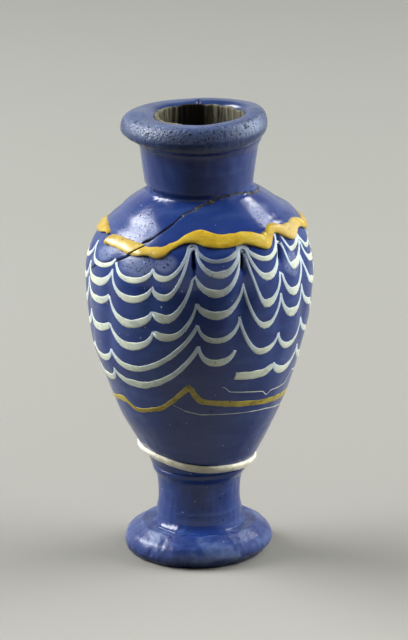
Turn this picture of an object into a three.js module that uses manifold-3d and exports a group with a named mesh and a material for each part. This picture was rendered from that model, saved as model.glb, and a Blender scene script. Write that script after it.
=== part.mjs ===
// A footed vase of core-formed glass, about 100 mm high, broken across the shoulder and mended.
//
// A wall of blue glass was wound round a sandy core and drawn up into a neck. A coil of glass makes
// the rim, and a stem and a pad of glass make the foot. Threads of coloured glass were wound round
// the body and rolled in until they lay in grooves in the wall, and a point dragged upwards through
// them at intervals drew them into swags. The core was scraped out and left a crust in the mouth.
//
// Millimetres, +Z up. The origin is the middle of the foot's resting face. Azimuths are in degrees:
// 0 faces -Y, the side with the break in view, and 90 faces +X.

import * as THREE from "three";
import { mergeVertices } from "three/addons/utils/BufferGeometryUtils.js";
import Module from "manifold-3d";

const wasm = await Module();
wasm.setup();

// Heights of the pieces, stacked on each other
const PAD_HEIGHT = 6.4;
const STEM_LENGTH = 13.6;
const BELLY_RISE = 44.2;
const SHOULDER_RISE = 19.3;
const NECK_LENGTH = 10.9;
const RIM_HEIGHT = 5.6;

// Outside radii
const PAD_RADIUS = 16.5;
const PAD_REST_RADIUS = 14.8;
const STEM_FOOT_RADIUS = 9.7;
const STEM_WAIST_RADIUS = 9.05;
const STEM_TOP_RADIUS = 10.6;
const BODY_OVERHANG = 0.3;
const BELLY_RADIUS = 24.9;
const NECK_BASE_RADIUS = 11.7;
const NECK_TOP_RADIUS = 13.2;
const RIM_RADIUS = 16.3;

// Walls, and the crust that the core left
const BODY_WALL = 3;
const NECK_WALL = 2.4;
const FLOOR_THICKNESS = 3.6;
const RESIDUE_THICKNESS = 0.6;
const RESIDUE_ABOVE_NECK_BASE = 0.9;
const RESIDUE_BELOW_TOP = 1.9;

// Bends of the profile
const BELLY_FULLNESS = 0.9;
const SHOULDER_FULLNESS = 2.55;
const NECK_FILLET = 0.6;
const STEM_WAIST_RISE = 5.7;
const STEM_FLARE = 3;
const PAD_EDGE_HEIGHT = 2.3;
const PAD_FULLNESS = 0.7;

// Clearances between pieces
const SEAT_GAP = 0.2;
const BREAK_GAP = 0.3;
const THREAD_END_GAP = 0.4;

// Threads. The white ones lie flush with the wall, a pitch apart, and two others stand proud of it.
const WHITE_TOP_RISE = 3.8;
const WHITE_PITCH = 4.95;
const WHITE_WIDTHS = [1.1, 1.6, 1.9, 1.8, 1.5, 1.5];
const LOWER_THREAD_DROP = 6.1;
const LOWER_THREAD_WIDTH = 1.4;
const SHOULDER_THREAD_RISE = 9.8;
const SHOULDER_THREAD_WIDTH = 2.3;
const FOOT_THREAD_RISE = 3.6;
const FOOT_THREAD_WIDTH = 2.1;
const FOOT_THREAD_TILT = 1.5;
const FLUSH_DEPTH = 0.8;
const RAISED_DEPTH = 0.5;
const SHOULDER_THREAD_PROUD = 1.1;
const FOOT_THREAD_PROUD = 0.8;

// Azimuths where a thread begins and ends
const SHOULDER_THREAD_END = -66;
const LOWEST_WHITE_END = 19.5;

// The strokes that dragged the threads upwards. A stroke begins at start, a height above the body's
// base, and lifts each thread that it crosses. lie is how much higher the threads lie in the swag on
// the stroke's right than in the lowest swag.
const STROKES = [
  { azimuth: -78, lift: 3.0, start: 22, lie: 1.0 },
  { azimuth: -52, lift: 4.2, start: 13, lie: 0.0 },
  { azimuth: -24, lift: 3.8, start: 26, lie: 2.0 },
  { azimuth: -3, lift: 7.0, start: 5, lie: 4.2 },
  { azimuth: 23, lift: 5.8, start: 22, lie: 4.8 },
  { azimuth: 47, lift: 5.0, start: 20, lie: 4.6 },
  { azimuth: 67, lift: 4.2, start: 22, lie: 4.2 },
  { azimuth: 86, lift: 4.6, start: 22, lie: 3.8 },
  { azimuth: 109, lift: 5.4, start: 20, lie: 3.3 },
  { azimuth: 134, lift: 4.8, start: 24, lie: 2.9 },
  { azimuth: 158, lift: 5.6, start: 18, lie: 2.5 },
  { azimuth: 184, lift: 5.0, start: 22, lie: 2.1 },
  { azimuth: 208, lift: 5.0, start: 20, lie: 1.7 },
  { azimuth: 233, lift: 3.6, start: 24, lie: 1.4 },
  { azimuth: 258, lift: 3.2, start: 22, lie: 1.2 },
];
const STROKE_RAMP = 10;
const STROKE_LEAN = 0.18;
const STROKE_FADE = 0.06;
const SWAG_POWER = 2.2;
const FLUTE_DEPTH = 0.45;
const FLUTE_RAMP = 12;

// The break runs round the foot of the neck, and on the left it dips under the top white thread:
// from one azimuth it falls to the next, stays down to the third and is back up at the fourth
const BREAK_DIP = [5, -66, -118, -190];
const BREAK_MARGIN = 0.75;

// Facets
const SWAG_STEPS = [-1, -0.56, 0, 0.56];
const LATHE_SEGMENTS = 48;
const BORE_SEGMENTS = 36;
const ROLL_STEPS = 8;
const BREAK_RINGS = 8;
const BELLY_LEVELS = [0.12, 0.26, 0.46, 0.72, 1];
const SHOULDER_LEVELS = [0.42, 0.7, 0.88];
const NECK_LEVELS = [0, 0.5, 0.9];
const FILLET_LEVELS = [0, 0.25, 0.6, 1];

// Levels
const BODY_BASE = PAD_HEIGHT + STEM_LENGTH;
const BELLY = BODY_BASE + BELLY_RISE;
const NECK_BASE = BELLY + SHOULDER_RISE;
const RIM_SEAT = NECK_BASE + NECK_LENGTH;
const TOP = RIM_SEAT + RIM_HEIGHT;

const BODY_BASE_RADIUS = STEM_TOP_RADIUS + BODY_OVERHANG;
const BORE_RADIUS = NECK_TOP_RADIUS - NECK_WALL;
const { clamp, degToRad, lerp, smoothstep } = THREE.MathUtils;

// Outside radius of the wall at a height, before the flutes
function wallRadius(z) {
  if (z <= BELLY) {
    const rise = clamp((z - BODY_BASE) / BELLY_RISE, 0, 1);
    return lerp(BODY_BASE_RADIUS, BELLY_RADIUS, Math.sin((rise * Math.PI) / 2) ** BELLY_FULLNESS);
  }
  const fall = ((z - BELLY) / SHOULDER_RISE) ** SHOULDER_FULLNESS;
  const shoulder = lerp(BELLY_RADIUS, NECK_BASE_RADIUS, fall);
  const neck = lerp(NECK_BASE_RADIUS, NECK_TOP_RADIUS, (z - NECK_BASE) / NECK_LENGTH);
  return (shoulder + neck + Math.hypot(shoulder - neck, NECK_FILLET)) / 2;
}

// The point a distance square inside the wall's outside at height z, as (radius, height)
function insideWall(z, depth) {
  const step = 0.05;
  const slope = (wallRadius(z + step) - wallRadius(z - step)) / (2 * step);
  const length = Math.hypot(1, slope);
  return new THREE.Vector2(wallRadius(z) - depth / length, z + (depth * slope) / length);
}

function at(radius, azimuth, z) {
  const angle = degToRad(azimuth);
  return new THREE.Vector3(radius * Math.sin(angle), -radius * Math.cos(angle), z);
}

// The columns of facets round the body, SWAG_STEPS of them from each stroke to the next. pull is 1
// on a stroke and 0 in the middle of a swag.
const columns = STROKES.flatMap((left, k) => {
  const before = STROKES.at(k - 1);
  const right = STROKES[(k + 1) % STROKES.length];
  const span = (right.azimuth - left.azimuth + 360) % 360;
  return SWAG_STEPS.map((step) => ({
    azimuth: left.azimuth + (span * (step + 1)) / 2,
    stroke: step < 0 ? left : right,
    pull: Math.abs(step) ** SWAG_POWER,
    lie: lerp(left.lie, step < 0 ? before.lie : right.lie, Math.abs(step) / 2),
  }));
});

// The strokes cross the belly at their azimuths, and lean to the right above it
function azimuthAt(column, z) {
  return column.azimuth + STROKE_LEAN * (z - BELLY);
}

// How far the nearest stroke lifts a thread that was wound on at height z
function lift({ stroke, pull }, z) {
  const begun = clamp((z - BODY_BASE - stroke.start) / STROKE_RAMP, 0, 1);
  const fading = clamp(1 - STROKE_FADE * (z - BELLY), 0, 1);
  return stroke.lift * pull * begun * fading;
}

// A point on the outside of the wall, or proud of it. The strokes leave flutes in the wall.
function onWall(column, z, proud = 0) {
  const begun = clamp((z - BODY_BASE - column.stroke.start) / FLUTE_RAMP, 0, 1);
  const ending = clamp((NECK_BASE - z) / FLUTE_RAMP, 0, 1);
  const flute = FLUTE_DEPTH * column.pull ** 3 * begun * ending;
  return at(wallRadius(z) - flute + proud, azimuthAt(column, z), z);
}

// Sections of a thread and of the groove that holds it, down the outside and back up the inside.
// Each point has its share of the half width above the thread's middle, and how proud it stands.
const FLUSH_SECTION = [
  [1, 0],
  [-1, 0],
  [0, -FLUSH_DEPTH],
];
const FLUSH_GROOVE = [
  [1, 0],
  [0, -FLUSH_DEPTH - 1.5 * SEAT_GAP],
  [-1, 0],
];
const RAISED_GROOVE = [
  [1, 0],
  [0.75, -RAISED_DEPTH - SEAT_GAP],
  [-0.75, -RAISED_DEPTH - SEAT_GAP],
  [-1, 0],
];
function raisedSection(proud) {
  return [
    [0.9, SEAT_GAP],
    [0, proud],
    [-0.9, SEAT_GAP],
    [-0.6, -RAISED_DEPTH],
    [0.6, -RAISED_DEPTH],
  ];
}

// The height of the middle of a combed thread. share is how much of the lie it takes.
function combed(rise, share = 1) {
  return (column) => {
    const z = rise + share * column.lie;
    return z + lift(column, z);
  };
}

// Each thread, from the top down. plainRows places plain rows of the wall between a thread and the
// one above it, as shares of the way down.
const whiteRise = (n) => BELLY + WHITE_TOP_RISE - n * WHITE_PITCH;
const lowestWhite = WHITE_WIDTHS.length - 1;
const shoulderThread = {
  name: "shoulder_thread",
  height: combed(BELLY + SHOULDER_THREAD_RISE, 0.5),
  width: SHOULDER_THREAD_WIDTH,
  section: raisedSection(SHOULDER_THREAD_PROUD),
  groove: RAISED_GROOVE,
};
const whiteThreads = WHITE_WIDTHS.map((width, n) => ({
  name: `white_thread_${n + 1}`,
  height: combed(whiteRise(n), n < lowestWhite ? 1 : 0.65),
  width,
  section: FLUSH_SECTION,
  groove: FLUSH_GROOVE,
}));
const lowerThread = {
  name: "lower_thread",
  height: combed(whiteRise(lowestWhite) - LOWER_THREAD_DROP, 0.5),
  width: LOWER_THREAD_WIDTH,
  section: FLUSH_SECTION,
  groove: FLUSH_GROOVE,
  plainRows: [0.5],
};
const footThread = {
  name: "foot_thread",
  height: ({ azimuth }) => BODY_BASE + FOOT_THREAD_RISE - FOOT_THREAD_TILT * Math.sin(degToRad(azimuth)),
  width: FOOT_THREAD_WIDTH,
  section: raisedSection(FOOT_THREAD_PROUD),
  groove: RAISED_GROOVE,
  plainRows: [0.34, 0.68],
};
const threads = [shoulderThread, ...whiteThreads, lowerThread, footThread];

// The skin over rows of points, each row one point or a ring of them. The rows run up the inside of
// a solid and down its outside, and a loop joins the last row to the first.
function skin(rows, loop = false) {
  const positions = [];
  const starts = rows.map((row) => {
    const start = positions.length / 3;
    row.forEach((point) => positions.push(...point));
    return start;
  });
  const indices = [];
  const bands = loop ? rows.length : rows.length - 1;
  for (let i = 0; i < bands; i++) {
    const next = (i + 1) % rows.length;
    const count = Math.max(rows[i].length, rows[next].length);
    const here = (j) => starts[i] + (j % rows[i].length);
    const there = (j) => starts[next] + (j % rows[next].length);
    for (let j = 0; j < count; j++) {
      if (rows[i].length > 1) indices.push(here(j), there(j), here(j + 1));
      if (rows[next].length > 1) indices.push(here(j + 1), there(j), there(j + 1));
    }
  }
  const geometry = new THREE.BufferGeometry();
  geometry.setAttribute("position", new THREE.Float32BufferAttribute(positions, 3));
  geometry.setIndex(indices);
  return solidOf(geometry);
}

function solidOf(geometry) {
  const bare = geometry.clone();
  bare.deleteAttribute("normal");
  bare.deleteAttribute("uv");
  const merged = mergeVertices(bare);
  return new wasm.Manifold(
    new wasm.Mesh({
      numProp: 3,
      vertProperties: merged.attributes.position.array,
      triVerts: new Uint32Array(merged.index.array),
    }),
  );
}

function geometryOf(solid) {
  const { numProp, vertProperties, triVerts } = solid.getMesh();
  const positions = vertProperties.filter((_, i) => i % numProp < 3);
  const geometry = new THREE.BufferGeometry();
  geometry.setAttribute("position", new THREE.BufferAttribute(positions, 3));
  geometry.setIndex(new THREE.BufferAttribute(triVerts, 1));
  geometry.computeVertexNormals();
  return geometry;
}

// Solid of revolution, from a profile of (radius, height) that runs up the outside
function lathe(profile, segments = LATHE_SEGMENTS) {
  const geometry = new THREE.LatheGeometry(profile, segments);
  geometry.rotateX(Math.PI / 2);
  return solidOf(geometry);
}

// The wall from the stem's seat to the rim's seat, with a groove for each thread. Its rows run from
// the middle of the hollow's floor up to the rim's seat and down the outside.
function makeWall() {
  const floor = BODY_BASE + FLOOR_THICKNESS;
  const hollow = [
    ...BELLY_LEVELS.map((share) => insideWall(lerp(floor, BELLY, share), BODY_WALL)),
    ...SHOULDER_LEVELS.map((share) =>
      insideWall(BELLY + share * SHOULDER_RISE, lerp(BODY_WALL, NECK_WALL, share)),
    ),
    new THREE.Vector2(NECK_BASE_RADIUS - NECK_WALL, NECK_BASE),
    new THREE.Vector2(BORE_RADIUS, RIM_SEAT),
  ];
  const floorEdge = new THREE.Vector2(0.75 * hollow[0].x, floor);
  const rows = [
    [new THREE.Vector3(0, 0, floor)],
    ...[floorEdge, ...hollow].map(({ x, y }) => columns.map((column) => at(x, azimuthAt(column, y), y))),
  ];

  const shoulderCrest = Math.max(...columns.map(shoulderThread.height)) + shoulderThread.width;
  const level = (z) => rows.push(columns.map((column) => onWall(column, z)));
  NECK_LEVELS.forEach((share) => level(lerp(RIM_SEAT, NECK_BASE, share)));
  FILLET_LEVELS.forEach((share) => level(lerp(NECK_BASE, shoulderCrest, share)));

  let above = () => shoulderCrest;
  for (const { height, width, groove, plainRows = [] } of threads) {
    const reach = width / 2 + SEAT_GAP;
    const between = (column, share) => lerp(above(column), height(column) + reach, share);
    for (const share of plainRows) {
      rows.push(columns.map((column) => onWall(column, between(column, share))));
    }
    for (const [side, proud] of groove) {
      rows.push(columns.map((column) => onWall(column, height(column) + side * reach, proud)));
    }
    above = (column) => height(column) - reach;
  }
  level(BODY_BASE);
  rows.push([new THREE.Vector3(0, 0, BODY_BASE)]);
  return skin(rows);
}

function makeThread({ height, width, section }) {
  const ring = ([side, proud]) =>
    columns.map((column) => onWall(column, height(column) + (side * width) / 2, proud));
  return skin(section.map(ring), true);
}

// The height of the break in a column
function breakHeight(column) {
  const [from, low, lowEnd, to] = BREAK_DIP;
  const azimuth = column.azimuth > from ? column.azimuth - 360 : column.azimuth;
  const falling = smoothstep(from - azimuth, 0, from - low);
  const rising = smoothstep(azimuth - to, 0, lowEnd - to);
  const top = whiteThreads[0];
  return lerp(NECK_BASE, top.height(column) - top.width / 2 - BREAK_MARGIN, Math.min(falling, rising));
}

// All the space under the break, up to an offset above it
function underBreak(offset) {
  const reach = 1.2 * BELLY_RADIUS;
  const edge = (radius) =>
    columns.map((column) => {
      const z = breakHeight(column) + offset;
      return at(radius, azimuthAt(column, z), z);
    });
  const rings = Array.from({ length: BREAK_RINGS }, (_, i) =>
    edge(lerp(BORE_RADIUS / 2, reach, i / (BREAK_RINGS - 1))),
  );
  return skin([
    [new THREE.Vector3(0, 0, NECK_BASE + offset)],
    ...rings,
    columns.map(({ azimuth }) => at(reach, azimuth, -reach)),
    [new THREE.Vector3(0, 0, -reach)],
  ]);
}

// A thin slab that parts a thread where its two ends meet
function threadEnd(azimuth) {
  const slab = new THREE.BoxGeometry(THREAD_END_GAP, 2 * BELLY_RADIUS, TOP);
  slab.translate(0, -BELLY_RADIUS, TOP / 2);
  slab.rotateZ(degToRad(azimuth));
  return solidOf(slab);
}

// A roll of glass on the neck's top, its bore in line with the neck's
function makeRim() {
  const roll = (RIM_RADIUS - BORE_RADIUS) / 2;
  const middle = new THREE.Vector2(BORE_RADIUS + roll, RIM_SEAT + RIM_HEIGHT / 2);
  const side = Array.from({ length: ROLL_STEPS + 1 }, (_, i) => {
    const angle = degToRad(lerp(-90, 150, i / ROLL_STEPS));
    return new THREE.Vector2(
      middle.x + roll * Math.cos(angle),
      middle.y + (RIM_HEIGHT / 2) * Math.sin(angle),
    );
  });
  const seat = new THREE.Vector2(BORE_RADIUS, RIM_SEAT);
  return lathe([seat, ...side, new THREE.Vector2(BORE_RADIUS, middle.y), seat]);
}

// The crust left by the core, on the inside of the neck and part way up the rim
function makeResidue() {
  const boreAt = (z) =>
    Math.min(BORE_RADIUS, lerp(BORE_RADIUS, NECK_BASE_RADIUS - NECK_WALL, (RIM_SEAT - z) / NECK_LENGTH));
  const outer = [NECK_BASE + RESIDUE_ABOVE_NECK_BASE, RIM_SEAT, TOP - RESIDUE_BELOW_TOP].map(
    (z) => new THREE.Vector2(boreAt(z) - SEAT_GAP, z),
  );
  const inner = outer.map(({ x, y }) => new THREE.Vector2(x - RESIDUE_THICKNESS, y)).reverse();
  return lathe([...outer, ...inner, outer[0]], BORE_SEGMENTS);
}

function makeStem() {
  const waist = PAD_HEIGHT + STEM_WAIST_RISE;
  const flare = (end, radius, share) =>
    new THREE.Vector2(lerp(STEM_WAIST_RADIUS, radius, share ** STEM_FLARE), lerp(waist, end, share));
  return lathe([
    new THREE.Vector2(0, PAD_HEIGHT),
    ...[1, 0.6].map((share) => flare(PAD_HEIGHT, STEM_FOOT_RADIUS, share)),
    ...[0, 0.5, 0.78, 1].map((share) => flare(BODY_BASE, STEM_TOP_RADIUS, share)),
    new THREE.Vector2(0, BODY_BASE),
  ]);
}

// A flat-bottomed pad with a rounded edge, domed up to the stem's seat
function makePad() {
  const seat = STEM_FOOT_RADIUS + SEAT_GAP;
  const dome = [0, 0.25, 0.5, 0.75, 1].map((share) => {
    const out = (1 - share ** 2) ** PAD_FULLNESS;
    return new THREE.Vector2(lerp(seat, PAD_RADIUS, out), lerp(PAD_EDGE_HEIGHT, PAD_HEIGHT, share));
  });
  return lathe([
    new THREE.Vector2(0, 0),
    new THREE.Vector2(PAD_REST_RADIUS, 0),
    new THREE.Vector2(lerp(PAD_REST_RADIUS, PAD_RADIUS, 0.75), 0.35 * PAD_EDGE_HEIGHT),
    ...dome,
    new THREE.Vector2(0, PAD_HEIGHT),
  ]);
}

// Finishes
const finish = (color, roughness) => new THREE.MeshStandardMaterial({ color, roughness, metalness: 0 });
const BLUE_GLASS = finish(0x2b3f86, 0.25);
const YELLOW_GLASS = finish(0xc99a2e, 0.35);
const WHITE_GLASS = finish(0xb9c4bb, 0.35);
const RESIDUE = finish(0x6b6552, 0.9);

const vase = new THREE.Group();
function place(name, solid, material) {
  const piece = new THREE.Mesh(geometryOf(solid), material);
  piece.name = name;
  vase.add(piece);
}

const upToBreak = underBreak(BREAK_GAP / 2);
const belowBreak = underBreak(-BREAK_GAP / 2);

const wall = makeWall();
place("neck_sherd", wall.subtract(upToBreak), BLUE_GLASS);
place("body_sherd", wall.intersect(belowBreak), BLUE_GLASS);
place("rim_coil", makeRim(), BLUE_GLASS);
place("stem", makeStem(), BLUE_GLASS);
place("foot_pad", makePad(), BLUE_GLASS);
place("core_residue", makeResidue(), RESIDUE);

// The break leaves the shoulder thread in two lengths above it and one below
const shoulderRing = makeThread(shoulderThread).subtract(threadEnd(SHOULDER_THREAD_END));
const [shortLength, longLength] = shoulderRing
  .subtract(upToBreak)
  .decompose()
  .sort((a, b) => a.volume() - b.volume());
place("shoulder_thread_start", shortLength, YELLOW_GLASS);
place("shoulder_thread_end", longLength, YELLOW_GLASS);
place("shoulder_thread_body", shoulderRing.intersect(belowBreak), YELLOW_GLASS);

// The break also crosses the top white thread, and the lowest one's ends do not quite meet
const whiteRings = whiteThreads.map(makeThread);
place("white_thread_1_neck", whiteRings[0].subtract(upToBreak), WHITE_GLASS);
place("white_thread_1_body", whiteRings[0].intersect(belowBreak), WHITE_GLASS);
whiteThreads.slice(1, -1).forEach(({ name }, n) => place(name, whiteRings[n + 1], WHITE_GLASS));
place(whiteThreads.at(-1).name, whiteRings.at(-1).subtract(threadEnd(LOWEST_WHITE_END)), WHITE_GLASS);

place(lowerThread.name, makeThread(lowerThread), YELLOW_GLASS);
place(footThread.name, makeThread(footThread), WHITE_GLASS);

export default vase;
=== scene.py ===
"""A footed vase of core-formed glass, broken across the shoulder and mended.

The solids of the frame say where each piece is and how large it is. This script
replaces them with finer forms and gives each the finish of the real glass. Sizes
are in millimetres and azimuths in degrees: 0 faces -Y, where the break shows, and
90 faces +X.
"""

from __future__ import annotations

import logging
import math
from bisect import bisect_left
from collections.abc import Callable
from dataclasses import dataclass, field, replace
from enum import Enum

import bpy
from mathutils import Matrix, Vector, noise

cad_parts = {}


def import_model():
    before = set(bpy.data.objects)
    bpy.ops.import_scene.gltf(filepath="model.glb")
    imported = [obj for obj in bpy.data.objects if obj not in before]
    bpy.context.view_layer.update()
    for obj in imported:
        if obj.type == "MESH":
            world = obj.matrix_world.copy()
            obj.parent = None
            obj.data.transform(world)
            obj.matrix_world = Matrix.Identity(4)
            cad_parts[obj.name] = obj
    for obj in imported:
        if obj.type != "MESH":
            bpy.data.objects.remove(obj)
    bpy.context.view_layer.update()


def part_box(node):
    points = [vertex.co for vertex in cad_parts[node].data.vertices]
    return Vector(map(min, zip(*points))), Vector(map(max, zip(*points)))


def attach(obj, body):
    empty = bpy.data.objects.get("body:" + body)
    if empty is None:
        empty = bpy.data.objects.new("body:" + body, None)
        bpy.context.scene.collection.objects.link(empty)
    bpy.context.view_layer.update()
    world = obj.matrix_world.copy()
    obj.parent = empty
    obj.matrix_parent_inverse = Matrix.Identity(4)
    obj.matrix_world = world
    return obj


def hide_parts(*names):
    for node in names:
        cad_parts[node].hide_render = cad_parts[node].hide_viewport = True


log = logging.getLogger("vase")

MM = 0.001

Point = tuple[float, float, float]
Shape = Callable[[float, float, float], Point]


def lerp(a: float, b: float, share: float) -> float:
    """Returns the value a share of the way from a to b."""
    return a + (b - a) * share


def clamp(value: float, low: float = 0.0, high: float = 1.0) -> float:
    """Returns the value kept between low and high."""
    return max(low, min(high, value))


def smooth(value: float, low: float, high: float) -> float:
    """Returns 0 below low and 1 above high, with a soft rise between them."""
    share = clamp((value - low) / (high - low))
    return share * share * (3 - 2 * share)


def ripple(azimuth: float, z: float, size: float, seed: float) -> float:
    """Returns smooth noise from about -1 to 1 that closes on itself round the vase.

    Args:
        azimuth: degrees round the vase.
        z: height in millimetres.
        size: how far apart the swells are, in millimetres on the belly.
        seed: shifts the pattern.
    """
    angle = math.radians(azimuth)
    around = 25.0 / size
    place = Vector((math.sin(angle) * around + seed, math.cos(angle) * around, z / size))
    return 2 * noise.noise(place)


def line(knots: tuple[tuple[float, float], ...], azimuth: float, rounding: float = 2.5) -> float:
    """Returns the height at an azimuth of a line through knots, with its corners rounded.

    Args:
        knots: azimuth and height of each knot, over one whole turn.
        azimuth: degrees round the vase.
        rounding: how many degrees each side of a corner are rounded.
    """
    total = 0.0
    for step in (-0.75, -0.25, 0.25, 0.75):
        turned = (azimuth + step * rounding - knots[0][0]) % 360 + knots[0][0]
        for (a, low), (b, high) in zip(knots, knots[1:]):
            if turned <= b:
                break
        total += lerp(low, high, clamp((turned - a) / (b - a)))
    return total / 4


def spread(humps: tuple[tuple[float, float, float], ...], azimuth: float) -> float:
    """Returns the sum of soft humps round the vase, each an azimuth, its reach and a height."""
    return sum(
        height * math.exp(-(((azimuth - at + 180) % 360 - 180) / reach) ** 2)
        for at, reach, height in humps
    )


def place(radius: float, azimuth: float, z: float) -> Point:
    """Returns the point in metres at a radius, an azimuth and a height."""
    angle = math.radians(azimuth)
    return (radius * math.sin(angle) * MM, -radius * math.cos(angle) * MM, z * MM)


@dataclass(frozen=True)
class Stroke:
    """One drag of a point up through the soft threads, with the swags on its right.

    azimuth is where it crosses the belly, peaks the heights to which it drew the white
    threads, from the top one down, and troughs the heights at which they hang in the
    swags on its right. A stroke that began above the lowest threads names fewer. lean
    is how many degrees it turns for each millimetre that it rises above the belly, curl
    how fast it turns more and more there, and drift how it turns below. hang is where the
    swags hang lowest, from -1 at this stroke to 1 at the next, flute the depth of its
    furrow in the wall, and cleft the depth of the slit at its top.
    """

    azimuth: float
    peaks: tuple[float, ...]
    troughs: tuple[float, ...]
    lean: float = 0.3
    curl: float = 0.0
    drift: float = 0.12
    hang: float = 0.0
    flute: float = 0.35
    cleft: float = 0.0

    def at(self, z: float, belly: float) -> float:
        """Returns the stroke's azimuth at height z."""
        rise = z - belly
        turn = self.lean + self.curl * rise if rise > 0 else self.drift
        return self.azimuth + turn * rise

    def arch(self, n: int) -> float:
        """Returns how many degrees the nth thread runs level on each side of its peak."""
        return self.cleft * (2.6, 2.0, 1.0, 0.0, 0.0, 0.0)[n]


# Heights at which the six white threads hang on the back, from the top one down
LEVELS = (68.8, 64.0, 58.6, 53.2, 47.7, 43.2)


def back_stroke(azimuth: float, lift: float, sag: float = 0.0) -> Stroke:
    """Returns a stroke of the back, which isn't in view and follows the levels."""
    reached = (1.1, 1.0, 1.0, 0.9, 0.7, 0.5)
    peaks = tuple(level + lift * share for level, share in zip(LEVELS, reached))
    return Stroke(azimuth, peaks, tuple(level - sag for level in LEVELS))


STROKES = (
    Stroke(
        -78,
        (73.0, 69.0, 65.2, 57.4, 49.6, 44.2),
        (69.0, 65.3, 61.0, 54.8, 47.6, 42.9),
        lean=0.05,
        drift=0.02,
        hang=0.1,
    ),
    Stroke(
        -52.5,
        (71.9, 69.4, 63.6, 57.0, 51.2, 46.4),
        (68.2, 64.0, 58.4, 53.1, 47.8, 43.6),
        hang=0.02,
    ),
    Stroke(
        -24,
        (71.4, 67.9, 62.3, 57.7),
        (69.4, 65.6, 60.5, 56.3),
        lean=-0.1,
        drift=-0.04,
        hang=-0.45,
    ),
    Stroke(
        -1,
        (76.2, 75.4, 69.9, 64.7, 60.0, 54.7),
        (73.1, 70.2, 66.2, 61.6, 56.1, 50.6),
        lean=-0.22,
        drift=-0.09,
        hang=-0.1,
        flute=0.7,
        cleft=1.1,
    ),
    Stroke(
        21.5,
        (75.9, 75.4, 74.6, 68.4, 61.3, 54.6),
        (72.6, 68.8, 63.2, 58.3, 52.1, 46.5),
        lean=0.35,
        drift=0.14,
        hang=0.2,
        flute=0.7,
        cleft=1.2,
    ),
    Stroke(
        45.3,
        (76.8, 74.8, 69.0, 65.2, 55.8, 48.4),
        (73.0, 69.5, 64.0, 59.2, 51.7, 45.9),
        lean=0.0,
        curl=0.045,
        drift=0.0,
        cleft=0.9,
    ),
    Stroke(
        63.4,
        (76.0, 75.4, 71.8, 65.0, 57.2, 50.5),
        (72.0, 69.2, 64.3, 59.6, 53.2, 47.2),
        lean=0.0,
        curl=0.05,
        drift=-0.28,
    ),
    back_stroke(88, 4.6),
    back_stroke(110, 5.4, 0.4),
    back_stroke(134, 4.8, -0.3),
    back_stroke(158, 5.6, 0.3),
    back_stroke(184, 5.0, -0.2),
    back_stroke(208, 5.0, 0.4),
    back_stroke(233, 3.8),
    back_stroke(258, 3.6, 0.2),
)


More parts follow.
